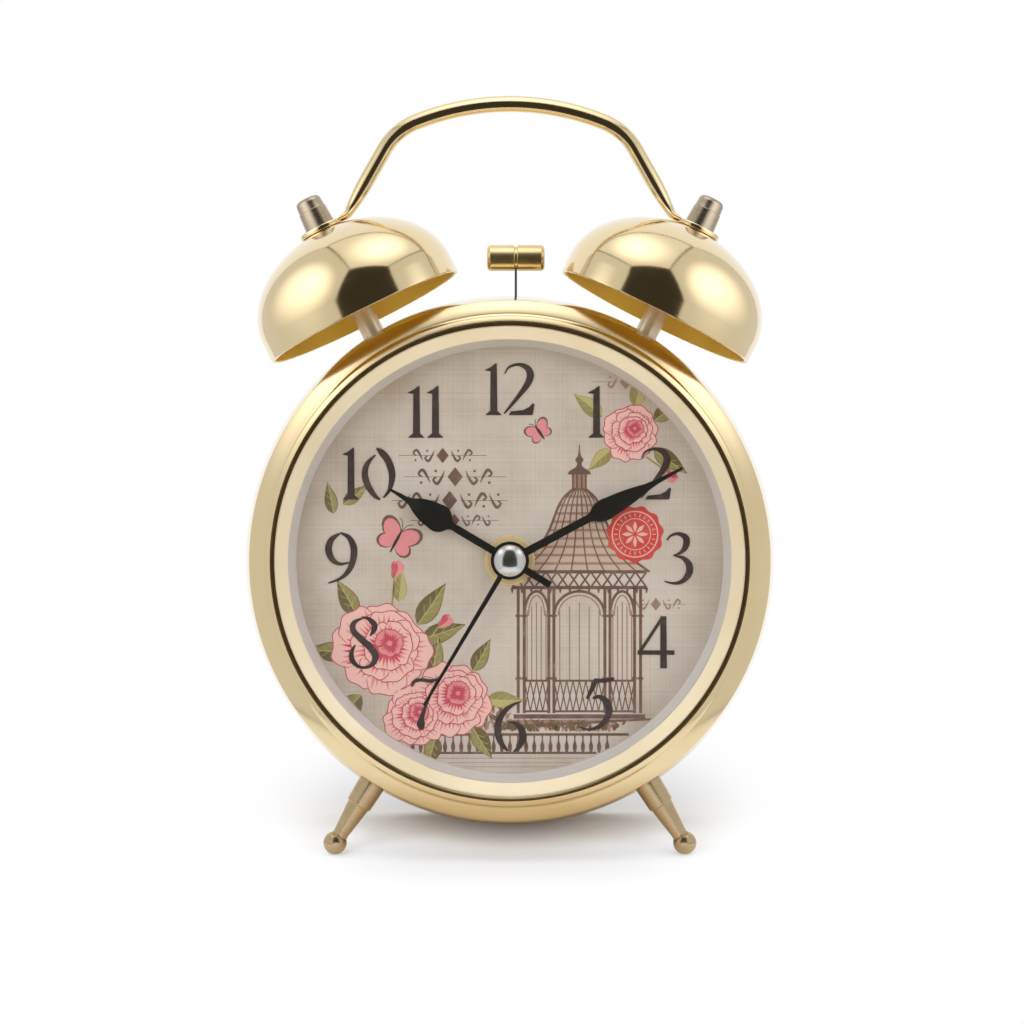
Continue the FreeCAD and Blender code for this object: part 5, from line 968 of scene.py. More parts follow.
def inked(ink, rings):
    """Add a closed form to an ink: rings of points, from the back of the form to its front or its ends."""
    points, faces, firsts = ink_forms[ink]
    first, count = len(points), len(rings[0])
    firsts.append(first)
    for ring in rings:
        points.extend(ring)
    for index in range(len(rings) - 1):
        for step in range(count):
            a = first + index * count + step
            b = first + index * count + (step + 1) % count
            faces.append((a, b, b + count, a + count))
    faces.append(tuple(range(first, first + count)))
    faces.append(tuple(range(first + (len(rings) - 1) * count, first + len(rings) * count))[::-1])


def front_of(ink, layer):
    """How deep the face of an ink's next form lies."""
    turn = len(ink_forms[ink][2]) % TURNS
    return DIAL_Y - INK_STEP * (list(INKS).index(ink) + 1) - LAYER_STEP * layer - TURN_STEP * turn


def shape(ink, outline, layer=0):
    """Print a filled outline of (x, z) points."""
    front = front_of(ink, layer)
    flat = [held(*point) for point in outline]
    inked(ink, [[(x, DIAL_Y + INK_SEAT, z) for x, z in flat], [(x, front, z) for x, z in flat]])


print("inks", len(INKS), "the highest layer stands", round(DIAL_Y - front_of("numeral", NUMERAL_LAYER), 3))

# %% [markdown]
# A filled shape is an outline, but most of the print is drawn with a pen. A pen stroke is a ribbon of
# changing width along a smooth curve: each of its points says where it is and how wide the pen is
# there. The curve is a Catmull-Rom spline, which passes through every point it is given.

# %% Pen strokes
def smooth_way(points, steps=7):
    """A smooth way through points of any number of values."""
    way = []
    for index in range(len(points) - 1):
        a, b, c, d = (points[min(max(index + shift, 0), len(points) - 1)] for shift in (-1, 0, 1, 2))
        for step in range(steps):
            t = step / steps
            way.append([0.5 * (2 * q + (r - p) * t + (2 * p - 5 * q + 4 * r - s) * t * t
                               + (3 * q - p - 3 * r + s) * t ** 3) for p, q, r, s in zip(a, b, c, d)])
    return way + [list(points[-1])]


def pen(ink, points, steps=7, layer=0):
    """Print a stroke along (x, z, half-width) points."""
    front = front_of(ink, layer)
    way = smooth_way(points, steps)
    rings = []
    for index, (x, z, half) in enumerate(way):
        before, after = way[max(index - 1, 0)], way[min(index + 1, len(way) - 1)]
        run, rise = after[0] - before[0], after[1] - before[1]
        length = math.hypot(run, rise) or 1.0
        side_x, side_z = -rise / length * half, run / length * half
        left, right = held(x + side_x, z + side_z), held(x - side_x, z - side_z)
        rings.append([(left[0], DIAL_Y + INK_SEAT, left[1]), (right[0], DIAL_Y + INK_SEAT, right[1]),
                      (right[0], front, right[1]), (left[0], front, left[1])])
    inked(ink, rings)


def straight(ink, start, end, half):
    """Print a ruled line."""
    pen(ink, [(*start, half), (*end, half)], 1)


def in_turn(centre, angle, points):
    """Points given along and across a direction, turned to it and moved to a centre."""
    way_x, way_z = math.sin(angle), math.cos(angle)
    return [(centre[0] + along * way_x + across * way_z, centre[1] + along * way_z - across * way_x)
            for along, across in points]


def bar(left, right, low, high):
    """The outline of an upright rectangle."""
    return [(left, low), (right, low), (right, high), (left, high)]


def circle(centre, radius, steps=24):
    """Points of a circle, which start at its right."""
    turns = (2 * math.pi * step / steps for step in range(steps))
    return [(centre[0] + radius * math.cos(turn), centre[1] + radius * math.sin(turn)) for turn in turns]


print("a stroke of 3 points has", len(smooth_way([(0, 0), (1, 1), (2, 0)])), "once it is smooth")

# %% [markdown]
# The numerals are plain figures in an old-style hand: strong down strokes, thin joins, small gaps
# where a stencil would hold together. Each figure is a few strokes in a box one unit high. A point of
# a stroke says where it is and how wide the pen is there, which is all a figure needs.

# %% Strokes of the numerals
ONE = [(-0.155, 0), (0.145, 0), (0.145, 0.014), (0.068, 0.085), (0.058, 1.0), (0.04, 1.0),
       (-0.06, 0.925), (-0.165, 0.872), (-0.165, 0.86), (-0.062, 0.845), (-0.068, 0.085), (-0.155, 0.014)]
TWO_FOOT = [(0.085, 0.0), (0.13, 0.075), (0.37, 0.10), (0.48, 0.155), (0.55, 0.23), (0.585, 0.215),
            (0.555, 0.02), (0.54, 0.0)]
FOUR_STEM = [(-0.062, 0), (0.065, 0), (0.055, 1.0), (-0.06, 1.0)]
FOUR_BAR = bar(-0.50, 0.21, 0.26, 0.345)
FIGURES = {
    "0": (0.0, 0.65, [], [
        [(0.27, 0.86, 0.012), (0.12, 0.70, 0.045), (0.065, 0.5, 0.06), (0.12, 0.28, 0.062),
         (0.25, 0.08, 0.045), (0.36, 0.0, 0.018)],
        [(0.29, 0.985, 0.015), (0.38, 0.915, 0.058), (0.50, 0.77, 0.068), (0.58, 0.56, 0.066),
         (0.585, 0.37, 0.056), (0.53, 0.17, 0.035), (0.42, 0.035, 0.015)]]),
    "1": (-0.165, 0.145, [ONE], []),
    "2": (0.0, 0.585, [TWO_FOOT], [
        [(0.015, 0.80, 0.010), (0.09, 0.92, 0.020), (0.26, 0.975, 0.030), (0.43, 0.92, 0.055),
         (0.505, 0.78, 0.070), (0.455, 0.61, 0.062), (0.32, 0.42, 0.044), (0.16, 0.22, 0.030),
         (0.0, 0.03, 0.016)]]),
    "3": (0.0, 0.55, [], [
        [(0.05, 0.84, 0.014), (0.13, 0.93, 0.022), (0.28, 0.965, 0.035), (0.42, 0.88, 0.062),
         (0.41, 0.72, 0.058), (0.31, 0.60, 0.030), (0.17, 0.545, 0.010)],
        [(0.20, 0.535, 0.010), (0.36, 0.50, 0.036), (0.475, 0.37, 0.064), (0.475, 0.21, 0.064),
         (0.36, 0.06, 0.045), (0.19, 0.01, 0.026), (0.0, 0.05, 0.012)]]),
    "4": (-0.50, 0.21, [FOUR_STEM, FOUR_BAR], [[(-0.465, 0.30, 0.030), (-0.03, 0.965, 0.030)]]),
    "5": (0.03, 0.72, [], [
        [(0.30, 0.61, 0.022), (0.42, 0.64, 0.040), (0.56, 0.55, 0.064), (0.62, 0.37, 0.066),
         (0.53, 0.16, 0.052), (0.37, 0.045, 0.034), (0.2, 0.01, 0.022), (0.03, 0.07, 0.010)],
        [(0.37, 0.975, 0.044), (0.29, 0.80, 0.044), (0.19, 0.60, 0.024)],
        [(0.33, 0.96, 0.034), (0.48, 0.95, 0.040), (0.61, 0.962, 0.035), (0.72, 1.0, 0.016)]]),
    "6": (0.0, 0.60, [], [
        [(0.52, 0.985, 0.010), (0.36, 0.92, 0.030), (0.2, 0.80, 0.050), (0.09, 0.61, 0.062),
         (0.065, 0.40, 0.066), (0.13, 0.19, 0.054), (0.26, 0.03, 0.018)],
        [(0.27, 0.59, 0.012), (0.41, 0.56, 0.040), (0.53, 0.43, 0.066), (0.54, 0.25, 0.066),
         (0.47, 0.10, 0.042), (0.37, 0.015, 0.014)]]),
    "7": (0.0, 0.54, [], [
        [(0.0, 0.83, 0.012), (0.05, 0.93, 0.030), (0.18, 0.965, 0.034), (0.36, 0.945, 0.036),
         (0.53, 0.985, 0.018)],
        [(0.50, 0.955, 0.018), (0.38, 0.72, 0.026), (0.27, 0.46, 0.032), (0.20, 0.24, 0.048),
         (0.18, 0.13, 0.078), (0.19, 0.05, 0.062), (0.20, 0.0, 0.020)]]),
    "8": (0.0, 0.585, [], [
        [(0.26, 0.965, 0.012), (0.11, 0.88, 0.045), (0.085, 0.74, 0.056), (0.22, 0.58, 0.060),
         (0.40, 0.42, 0.068), (0.515, 0.25, 0.066), (0.47, 0.09, 0.048), (0.34, 0.018, 0.028),
         (0.19, 0.035, 0.032), (0.07, 0.16, 0.050), (0.06, 0.32, 0.040), (0.13, 0.45, 0.012)],
        [(0.25, 0.985, 0.012), (0.38, 0.955, 0.036), (0.49, 0.85, 0.056), (0.49, 0.74, 0.050),
         (0.41, 0.62, 0.012)]]),
    "9": (0.0, 0.615, [], [
        [(0.28, 0.97, 0.018), (0.12, 0.85, 0.055), (0.065, 0.66, 0.066), (0.14, 0.47, 0.055),
         (0.28, 0.385, 0.032), (0.46, 0.41, 0.016)],
        [(0.29, 0.985, 0.016), (0.45, 0.90, 0.045), (0.545, 0.72, 0.064), (0.545, 0.5, 0.062),
         (0.46, 0.27, 0.050), (0.3, 0.11, 0.030), (0.06, 0.015, 0.012)]]),
}
print("figures", len(FIGURES))

# %% [markdown]
# The numerals stand on a circle, upright, each with its own middle on the hour's line. The figures of a
# number are set side by side with a small gap, and three numbers are nudged a little to the right,
# because a printer centres them by eye, not by their width.

# %% Numerals
FIGURE_H, FIGURE_GAP, NUMERAL_R, NUMERAL_RISE = 11.2, 0.055, 36.4, 0.5
NUDGED = {10: 1.1, 5: 0.5, 1: 0.4}


def figure_at(x, z, points):
    """Points of a figure in millimetres; what follows the place of a point is its pen's half-width."""
    return [((x + px) * FIGURE_H, (z + pz) * FIGURE_H, *(value * FIGURE_H for value in more))
            for px, pz, *more in points]


for hour in range(1, 13):
    figures = [FIGURES[figure] for figure in str(hour)]
    wide = sum(figure[1] - figure[0] for figure in figures) + FIGURE_GAP * (len(figures) - 1)
    angle = math.radians(30 * hour)
    pen_x = (NUMERAL_R * math.sin(angle) + NUDGED.get(hour, 0)) / FIGURE_H - wide / 2
    pen_z = (NUMERAL_R * math.cos(angle) + NUMERAL_RISE) / FIGURE_H - 0.5
    for left, right, outlines, strokes in figures:
        for outline in outlines:
            shape("numeral", figure_at(pen_x - left, pen_z, outline), NUMERAL_LAYER)
        for stroke in strokes:
            pen("numeral", figure_at(pen_x - left, pen_z, stroke), 9, NUMERAL_LAYER)
        pen_x += right - left + FIGURE_GAP
print("numeral points", len(ink_forms["numeral"][0]))

# %% [markdown]
# Behind the numerals lies a garden scene in faded colours: an iron pavilion in sepia, peonies with
# olive leaves, butterflies, a red wax seal, rows of scrollwork, and a low balustrade along the foot.
# The leaves come first, because the flowers lie over them. Each has one shaded half and a pale vein.

# %% Leaves
garden = random.Random(11)
LEAF_HALF_SHOWN, PALE_SHARE = 0.9, 0.4


def leaf(base, angle, length, wide, dark="leaf_dark", light="leaf"):
    """A pointed leaf with one shaded half and a pale vein."""
    edge = [(length * t, wide * math.sin(math.pi * t ** 0.75) * (1 - 0.25 * t)) for t in
            (0, 0.12, 0.25, 0.4, 0.55, 0.7, 0.85, 1.0)]
    shape(dark, in_turn(base, angle, edge + [(a, -c) for a, c in edge[-2:0:-1]]))
    half = [(a, 0.06) for a, _ in edge] + [(a, c * LEAF_HALF_SHOWN) for a, c in edge[-2:0:-1]]
    shape(light, in_turn(base, angle, half))
    vein = in_turn(base, angle, [(0, 0), (length * 0.5, 0.1), (length * 0.93, 0)])
    pen("leaf_pale", [(x, z, 0.09) for x, z in vein], 4)
    for t in (0.25, 0.45, 0.65):
        for side in (-1, 1):
            reach = side * wide * (0.6 - 0.36 * t)
            side_vein = in_turn(base, angle, [(length * t, 0), (length * (t + 0.16), reach)])
            straight("leaf_pale", *side_vein, 0.05)


LEAVES = [((-20, -14), 0.6, 11, 2.6), ((-19, -17), 1.25, 10, 2.4), ((-33, -12), -0.5, 9, 2.3),
          ((-35, -20), -1.5, 9, 2.4), ((-32, -29), -2.4, 10, 2.6), ((-8, -24), 0.5, 8, 2.0),
          ((-5, -30), 1.6, 8, 2.0), ((-8, -36), 2.6, 8, 2.2), ((-16, -38), -2.9, 7, 2.2),
          ((-17, -25), 0.2, 9, 2.2), ((-24, -9), 0.1, 7, 1.7), ((20, 31), -0.9, 8, 2.0),
          ((22, 24), -2.3, 7, 1.8), ((31, 24), 2.2, 9, 2.1), ((31, 30), 0.9, 8, 2.0),
          ((27, 33), 0.2, 8, 2.0), ((-36, 12), 0.9, 7, 1.6), ((-38, 10), -0.2, 7, 1.6)]
for base, angle, length, wide in LEAVES:
    leaf(base, angle, length, wide, *(("leaf", "leaf_pale") if garden.random() < PALE_SHARE else ()))
print("leaves", len(LEAVES))

# %% [markdown]
# A peony is rings of cupped petals, each over a darker rim that leaves a fine line round it, with a fan
# of strokes that darkens it towards its foot. Petals that overlap are printed in layers. The draws are
# seeded, so the flowers come out the same each time.

# %% Peonies and buds
BLOOMS = [((-27.5, -19.5), 10.5), ((-12.5, -30.0), 8.6), ((-20.5, -33.8), 7.0), ((26.0, 27.5), 6.4)]
BUDS = [((-25, -4), 0.3, 2.6), ((-15.5, -14.5), 0.9, 2.4), ((33.5, 19.5), 2.4, 2.2)]
PETAL_RINGS = [(8, 1.0, 0.42, "rose_pale"), (7, 0.74, 0.36, "rose_pale"), (5, 0.50, 0.30, "rose_pale"),
               (4, 0.30, 0.20, "rose")]  # how many, their reach, their width and their ink
RIM_LONG, RIM_WIDE, RING_LAYERS, HEART_LAYER = 0.22, 0.16, 3, 12


def petal(centre, angle, reach, wide, ink, layer=0):
    """A petal that opens like a fan, with a lightly waved tip."""
    edge = [(0, 0)]
    for turn in (-1 + step / 7 for step in range(15)):
        tip = 0.62 + 0.38 * max(math.cos(turn * math.pi / 2), 0) ** 0.55
        wave = 1 + 0.035 * math.sin(8 * turn + angle * 5)
        edge.append((reach * tip * wave, wide * math.sin(turn * math.pi / 2)))
    shape(ink, in_turn(centre, angle, edge), layer)


def shaded_foot(centre, angle, reach, wide, ink, share, layer):
    """A fan of tapering strokes that darkens a petal towards its foot."""
    for index in range(-3, 4):
        lean = wide * index / 3.6
        tip = reach * share * garden.uniform(0.86, 1.08) * (1 - 0.05 * abs(index))
        stroke = in_turn(centre, angle, [(reach * 0.2, lean * 0.35), (tip * 0.72, lean * 0.75), (tip, lean)])
        halves = (wide * 0.10, wide * 0.085, 0.03)
        pen(ink, [(x, z, half) for (x, z), half in zip(stroke, halves)], 3, layer)


def peony(centre, size):
    """Rings of petals that lean to one side, with small curls at the heart."""
    for ring, (count, share, broad, ink) in enumerate(PETAL_RINGS):
        middle = [place + 0.05 * size * ring for place in centre]
        first = garden.uniform(0, 6)
        for index in range(count):
            angle = first + 2 * math.pi * index / count + garden.uniform(-0.15, 0.15)
            reach = size * share * garden.uniform(0.88, 1.06)
            wide = size * broad * garden.uniform(0.9, 1.12)
            layer = ring * RING_LAYERS + index % RING_LAYERS
            petal(middle, angle, reach, wide, "rose_line", layer)
            petal(middle, angle, reach - RIM_LONG, wide - RIM_WIDE, ink, layer)
            shaded_foot(middle, angle, reach, wide, "rose", 0.90, layer)
            shaded_foot(middle, angle, reach, wide, "rose_deep", 0.74, layer)
    for index in range(5):
        curl = [in_turn(middle, index * 1.3 + bend, [(size * out, 0)])[0]
                for bend, out in ((0, 0.05), (0.7, 0.10), (1.5, 0.13), (2.3, 0.11))]
        pen("rose_line", [(x, z, 0.13) for x, z in curl], 4, HEART_LAYER)


def bud(base, angle, size):
    """A closed bud on a stalk, held by two sepals."""
    stalk = in_turn(base, angle, [(-size * 2.2, size * 0.5), (-size, size * 0.25), (0, 0)])
    pen("leaf", [(x, z, 0.2) for x, z in stalk])
    for ink, wide, long, turn in (("rose_line", 0.55, 1.5, 0), ("rose", 0.48, 1.5, 0.05),
                                  ("rose_deep", 0.24, 1.3, -0.2)):
        petal(base, angle + turn, size * long, size * wide, ink, 1)
    for turn in (-0.55, 0.55):
        leaf(base, angle + turn, size * 0.8, size * 0.16)


for bloom in BLOOMS:
    peony(*bloom)
for place in BUDS:
    bud(*place)
print("blooms", len(BLOOMS), "buds", len(BUDS))

# %% [markdown]
# The pavilion is drawn the way it would be built: a ribbed roof on a rail of lattice, a finial on its
# lantern, pairs of slender posts, round arches between them, and three steps. All of it is placed from
# its middle, its foot and its eaves, so the whole can be moved or stretched by one number.

# %% Iron pavilion: the roof
HALL_X, HALL_FOOT, EAVES_Z, DOME_TOP_Z, HALL_HALF = 15.0, -33.0, -2.5, 15.5, 13.5
RAIL_DEEP, RAIL_THICK, LANTERN_H, OVERHANG = 3.4, 1.8, 3.2, 1


def lattice(left, right, low, high, pitch, half):
    """Crossed bars between two rails."""
    count = round((right - left) / pitch)
    for index in range(count):
        start, end = left + (right - left) * index / count, left + (right - left) * (index + 1) / count
        straight("sepia", (start, low), (end, high), half)
        straight("sepia", (start, high), (end, low), half)
    for z in (low, high):
        straight("sepia", (left, z), (right, z), half * RAIL_THICK)


def dome_edge(share, steps=10):
    """One rib of the roof, from the eaves to the lantern: a bell curve seen from the front."""
    rib = []
    for step in range(steps + 1):
        t = step / steps
        bell = 1.12 * (1 - t) ** 0.8 * (1 - 0.32 * math.sin(math.pi * t)) + 0.09 * t
        rib.append((HALL_X + share * HALL_HALF * bell, EAVES_Z + (DOME_TOP_Z - EAVES_Z) * t))
    return rib


left_rib, right_rib = dome_edge(-1), dome_edge(1)
shape("sepia_pale", left_rib + right_rib[::-1])
for share in (-1, -0.82, -0.6, -0.36, -0.12, 0.12, 0.36, 0.6, 0.82, 1):
    pen("sepia", [(x, z, 0.26 if abs(share) == 1 else 0.15) for x, z in dome_edge(share)], 3)
for row in range(1, 10):
    straight("sepia_mid", left_rib[row], right_rib[row], 0.28)
rail_half, rail_low = HALL_HALF + OVERHANG, EAVES_Z - RAIL_DEEP
lattice(HALL_X - rail_half, HALL_X + rail_half, rail_low, EAVES_Z, 2.4, 0.2)
for index in range(15):
    x = HALL_X - rail_half + index * rail_half / 7
    pen("sepia", [(x, rail_low, 0.35), (x, rail_low - 1.2, 0.12)], 3)
lantern_top = DOME_TOP_Z + LANTERN_H
shape("sepia_mid", [(HALL_X - 1.3, DOME_TOP_Z - 0.3), (HALL_X - 1.7, lantern_top),
                    (HALL_X + 1.7, lantern_top), (HALL_X + 1.3, DOME_TOP_Z - 0.3)])
for x in (-1.4, -0.5, 0.5, 1.4):
    straight("sepia", (HALL_X + x, DOME_TOP_Z), (HALL_X + x, lantern_top), 0.2)
FINIAL = ((3.0, 2.5), (3.7, 2.2), (4.6, 0.8), (5.4, 0.5), (6.2, 0.9), (7.2, 0.3), (9.5, 0.1))
pen("sepia", [(HALL_X, DOME_TOP_Z + rise, half) for rise, half in FINIAL], 5)
print("pavilion height", DOME_TOP_Z + FINIAL[-1][0] - HALL_FOOT)

# %% [markdown]
# Under the rail the posts stand in pairs, with small rings where castings are bolted. Between them
# each arch is a double bow, with bars above and a lattice fence below, and everything stands on three
# steps that grow wider downwards.

# %% Iron pavilion: posts, arches and steps
POSTS = (-13.2, -11.9, -6.6, -5.5, 5.5, 6.6, 11.9, 13.2)
ARCHES = ((HALL_X - 9.25, 2.65), (HALL_X, 5.5), (HALL_X + 9.25, 2.65))  # middle and half-width
FENCE_H, SPRING_Z, ARCH_RISE = 7, EAVES_Z - 9.5, 5.3
STEP_HALVES, STEP_RISE, STEP_H = (14.2, 15.6, 17.0), 1.2, 0.95
for x in POSTS:
    straight("sepia", (HALL_X + x, HALL_FOOT), (HALL_X + x, rail_low), 0.33)
    for z in (HALL_FOOT + FENCE_H + 0.5, SPRING_Z):
        straight("sepia", (HALL_X + x - 0.6, z), (HALL_X + x + 0.6, z), 0.25)
for middle, reach in ARCHES:
    for inset, half, ink in ((0, 0.3, "sepia"), (0.9, 0.16, "sepia_mid")):
        turns = [math.pi * step / 8 for step in range(9)]
        pen(ink, [(middle + (reach - inset) * math.cos(turn),
                   SPRING_Z + (ARCH_RISE - inset) * math.sin(turn), half) for turn in turns], 3)
    lattice(middle - reach, middle + reach, HALL_FOOT + 0.4, HALL_FOOT + FENCE_H, 1.35, 0.13)
    for index in range(-2, 3):
        x = middle + reach * index / 2.6
        straight("sepia_mid", (x, HALL_FOOT + FENCE_H), (x, SPRING_Z + 3 - abs(index) * 0.9), 0.13)
for step, wide in enumerate(STEP_HALVES):
    low = HALL_FOOT - STEP_RISE * (step + 1)
    shape("sepia_mid" if step % 2 else "sepia", bar(HALL_X - wide, HALL_X + wide, low, low + STEP_H))
print("posts", len(POSTS), "arches", len(ARCHES), "steps", len(STEP_HALVES))

# %% [markdown]
# A butterfly is two pairs of wings, drawn three times one inside the other: a dark rim, the rose of
# the wing, and a pale spot on the upper pair. The wax seal has a wavy rim, two rings with short rays
# between them, and a plain rosette in the middle.

# %% Butterflies and seal
WING_PAIRS = ((0.85, 1.0, 0.36, (("sepia", 1.0), ("rose", 0.86), ("leaf_pale", 0.5))),
              (2.0, 0.72, 0.30, (("sepia", 1.0), ("rose", 0.86))))  # lean, reach, width, inks and sizes
SEAL_WAVES, SEAL_WAVE, RAYS, ROSETTE = 11, 0.045, 24, 8
BUTTERFLIES, SEAL = (((-24.5, 4.2), 0.5, 5.6), ((6.5, 27.5), -0.6, 3.4)), ((27.0, 5.6), 6.0)


def butterfly(centre, angle, size):
    """Two pairs of wings with a dark rim, pale spots, a thin body and two feelers."""
    turns = [math.pi * step / 6 for step in range(12)]
    for side in (-1, 1):
        for lean, reach, wide, inks in WING_PAIRS:
            for ink, grow in inks:
                wing = [(size * (0.06 + reach * grow * (1 - math.cos(turn)) / 2),
                         size * wide * grow * math.sin(turn)) for turn in turns]
                shape(ink, in_turn(centre, angle + side * lean, wing))
    body = in_turn(centre, angle, [(-size * 0.5, 0), (0, 0), (size * 0.4, 0)])
    pen("numeral", [(x, z, half) for (x, z), half in zip(body, (0.12, 0.34, 0.16))])
    for side in (-1, 1):
        feeler = in_turn(centre, angle, [(size * 0.4, 0), (size * 0.7, side * size * 0.1),
                                         (size * 0.85, side * size * 0.28)])
        pen("numeral", [(x, z, 0.07) for x, z in feeler], 4)


def wax_seal(centre, size):
    """A red seal with a wavy rim, two pale rings and a plain rosette."""
    rim = []
    for a in (2 * math.pi * step / 88 for step in range(88)):
        reach = size * (1 + SEAL_WAVE * math.sin(SEAL_WAVES * a))
        rim.append((centre[0] + reach * math.cos(a), centre[1] + reach * math.sin(a)))
    shape("seal_red", rim)
    for radius, half in ((0.82, 0.14), (0.56, 0.09)):
        ring = circle(centre, size * radius)
        pen("seal_pale", [(x, z, half) for x, z in ring + ring[:1]], 2)
    for index in range(RAYS):
        ray = in_turn(centre, 2 * math.pi * index / RAYS, [(size * 0.63, 0), (size * 0.75, 0)])
        straight("seal_pale", *ray, 0.09)
    for index in range(ROSETTE):
        tip = in_turn(centre, 2 * math.pi * index / ROSETTE,
                      [(size * 0.08, 0), (size * 0.28, 0), (size * 0.46, 0)])
        pen("seal_pale", [(x, z, half) for (x, z), half in zip(tip, (0.05, 0.42, 0.05))], 4)


for flight in BUTTERFLIES:
    butterfly(*flight)
wax_seal(*SEAL)
print("butterflies", len(BUTTERFLIES), "rays", RAYS, "petals of the rosette", ROSETTE)

# %% [markdown]
# Rows of scrollwork fill the upper left of the dial, with a short row at the top and one beside the
# pavilion: curls that turn up and down by turns, alike on both sides of a small lozenge. A row is as
# long as its width and the size of its curls allow.

# %% Scrollwork
SCROLLS = ((-14.5, 22.6, 19, 2.4, "sepia"), (-11.8, 18.0, 22, 3.0, "sepia"),
           (-13.0, 12.9, 25, 3.0, "sepia"), (-12.0, 8.6, 19, 2.1, "sepia"),
           (25.0, 38.5, 14, 2.4, "sepia_mid"), (31.5, -9.5, 13, 2.0, "sepia_mid"))
CURL = ((-0.35, -0.45), (-0.1, 0.1), (0.2, 0.5), (0.48, 0.22), (0.25, 0.02))
CURL_HALVES, CURL_PITCH = (0.09, 0.11, 0.08, 0.06), 1.05


def scrollwork(middle, height, wide, size, ink):
    """A row of curls that grow from a small lozenge, alike on both sides."""
    shape(ink, [(middle - size * 0.55, height), (middle, height + size * 0.7),
                (middle + size * 0.55, height), (middle, height - size * 0.7)])
    halves = [0.05] + [size * half for half in CURL_HALVES]
    for side in (-1, 1):
        for index in range(int((wide / 2 - size) / (size * CURL_PITCH))):
            x, up = middle + side * size * (1.1 + CURL_PITCH * index), 1 if index % 2 else -1
            pen(ink, [(x + side * size * out, height + up * size * rise, half)
                      for (out, rise), half in zip(CURL, halves)], 5)
            shape(ink, circle((x + side * size * 0.3, height - up * size * 0.42), size * 0.1, 10))
        straight(ink, (middle + side * size * 0.75, height), (middle + side * wide / 2, height), 0.06)


for scroll in SCROLLS:
    scrollwork(*scroll)
print("rows of scrollwork", len(SCROLLS))

# %% [markdown]
# A balustrade closes the picture below, with faint ruled lines under it for the ground. Small tufts of
# grass grow over it: short strokes at seeded places, higher in some stretches than in others, low in
# front of the pavilion, and none outside the dial's open circle.

# %% Balustrade and grass
RAIL_HIGH, RAIL_LOW, BALUSTERS, BALUSTER_PITCH = -37.6, -41.6, 25, 1.75
RULED = ((RAIL_HIGH, 0.28, "sepia"), (RAIL_LOW, 0.26, "sepia"), (-42.7, 0.07, "sepia_mid"),
         (-43.7, 0.06, "sepia_mid"), (-44.6, 0.05, "sepia_mid"))
TUFTS, TUFT_LIMIT, TUFT_FOOT, TUFT_LOW = 620, 43.4, -37.0, 1.6
for z, half, ink in RULED:
    reach = math.sqrt(PRINT_LIMIT ** 2 - z ** 2) - 0.5
    straight(ink, (-reach, z), (reach, z), half)
for index in range(BALUSTERS):
    x = (index - BALUSTERS // 2) * BALUSTER_PITCH
    pen("sepia", [(x, RAIL_HIGH, 0.22), (x, RAIL_HIGH - 1.3, 0.16), (x, RAIL_HIGH - 2.6, 0.46),
                  (x, RAIL_LOW, 0.2)], 4)
for index in range(TUFTS):
    x = garden.uniform(-42, 42)
    hidden = abs(x - HALL_X) < HALL_HALF + 2
    tall = TUFT_LOW if hidden else 6.0 + 4.5 * math.sin(x * 0.33 + 1.2) + 2.0 * math.sin(x * 0.9)
    z = TUFT_FOOT + garden.random() ** 1.3 * max(tall, 1.5)
    tuft = [(x, z, 0.12), (x + garden.uniform(-0.5, 0.5), z + 0.5, 0.30),
            (x + garden.uniform(-0.9, 0.9), z + 1.2, 0.06)]
    ink = garden.choice(["sepia", "sepia_mid", "sepia_mid", "sepia_pale", "leaf_dark"])
    if math.hypot(x, z) < TUFT_LIMIT:
        pen(ink, tuft, 3)
print("balusters", BALUSTERS, "tufts tried", TUFTS)

# %% [markdown]
# Each ink becomes one piece. Its finish is not a flat colour either: the paper's weave shows through
# it, it is a little uneven, and here and there it has worn down to the paper in fine specks.

# %% Print the inks
WORN = {"numeral": 0.25}
WORN_OTHERS = 0.6


def ink_finish(name, colour, wear):
    """Matt printing ink over the linen, more or less worn."""
    finish = Finish("ink_" + name)
    weave = threads(finish)
    faded = finish.noise(size=4.0, detail=4.0, rough=0.6).between(0.4, 0.8)
    specks = finish.noise(size=0.55, detail=2.0).between(0.66, 0.74)
    bare = (faded * 0.22 + specks * 0.45 + weave * 0.10) * wear
    return finish.shaded(Base_Color=bare.mix(colour, PAPER), Roughness=0.66 + weave * 0.1,
                         Normal=finish.bump(weave, 0.015))


for name, (points, faces, _) in ink_forms.items():
    form = bmesh.new()
    made = [form.verts.new(point) for point in points]
    for face in faces:
        form.faces.new([made[index] for index in face])
    FINISHES["ink_" + name] = ink_finish(name, INKS[name], WORN.get(name, WORN_OTHERS))
    shown("print_" + name, closed_mesh("print_" + name, form), "case", "dial_paper", finish="ink_" + name)
print("inks", len(ink_forms), "forms", sum(len(firsts) for _, _, firsts in ink_forms.values()))

# %% [markdown]
# The back is a plain black moulding that nobody looks at, but the hand knows it well. The two setting
# knobs have soft flutes and a dished end, so each is made again: rings of points follow a profile
# from the foot to the dish, and every ring is drawn in at twelve places, less and less towards the
# rounded edge.

# %% Setting knobs
KNOBS = ("time_knob", "alarm_knob")
FLUTES, FLUTE_DEEP, FLUTE_FADES, KNOB_EDGE, KNOB_POINTS = 12, 0.5, 1.6, 0.9, 240
DISH_START, DISH_WIDE, DISH_DEEP, DISH_LIP, DISH_LIP_H, FOOT_FLARE = 1.9, 0.4, 0.5, 0.25, 0.12, 0.07


def middle_of(node):
    """The middle of a node across and up, its half-width, and where it starts and ends in depth."""
    points = clock_points(node)
    low, high = (Vector([pick(point[axis] for point in points) for axis in range(3)]) for pick in (min, max))
    return (low.x + high.x) / 2, (low.z + high.z) / 2, (high.x - low.x) / 2, low.y, high.y


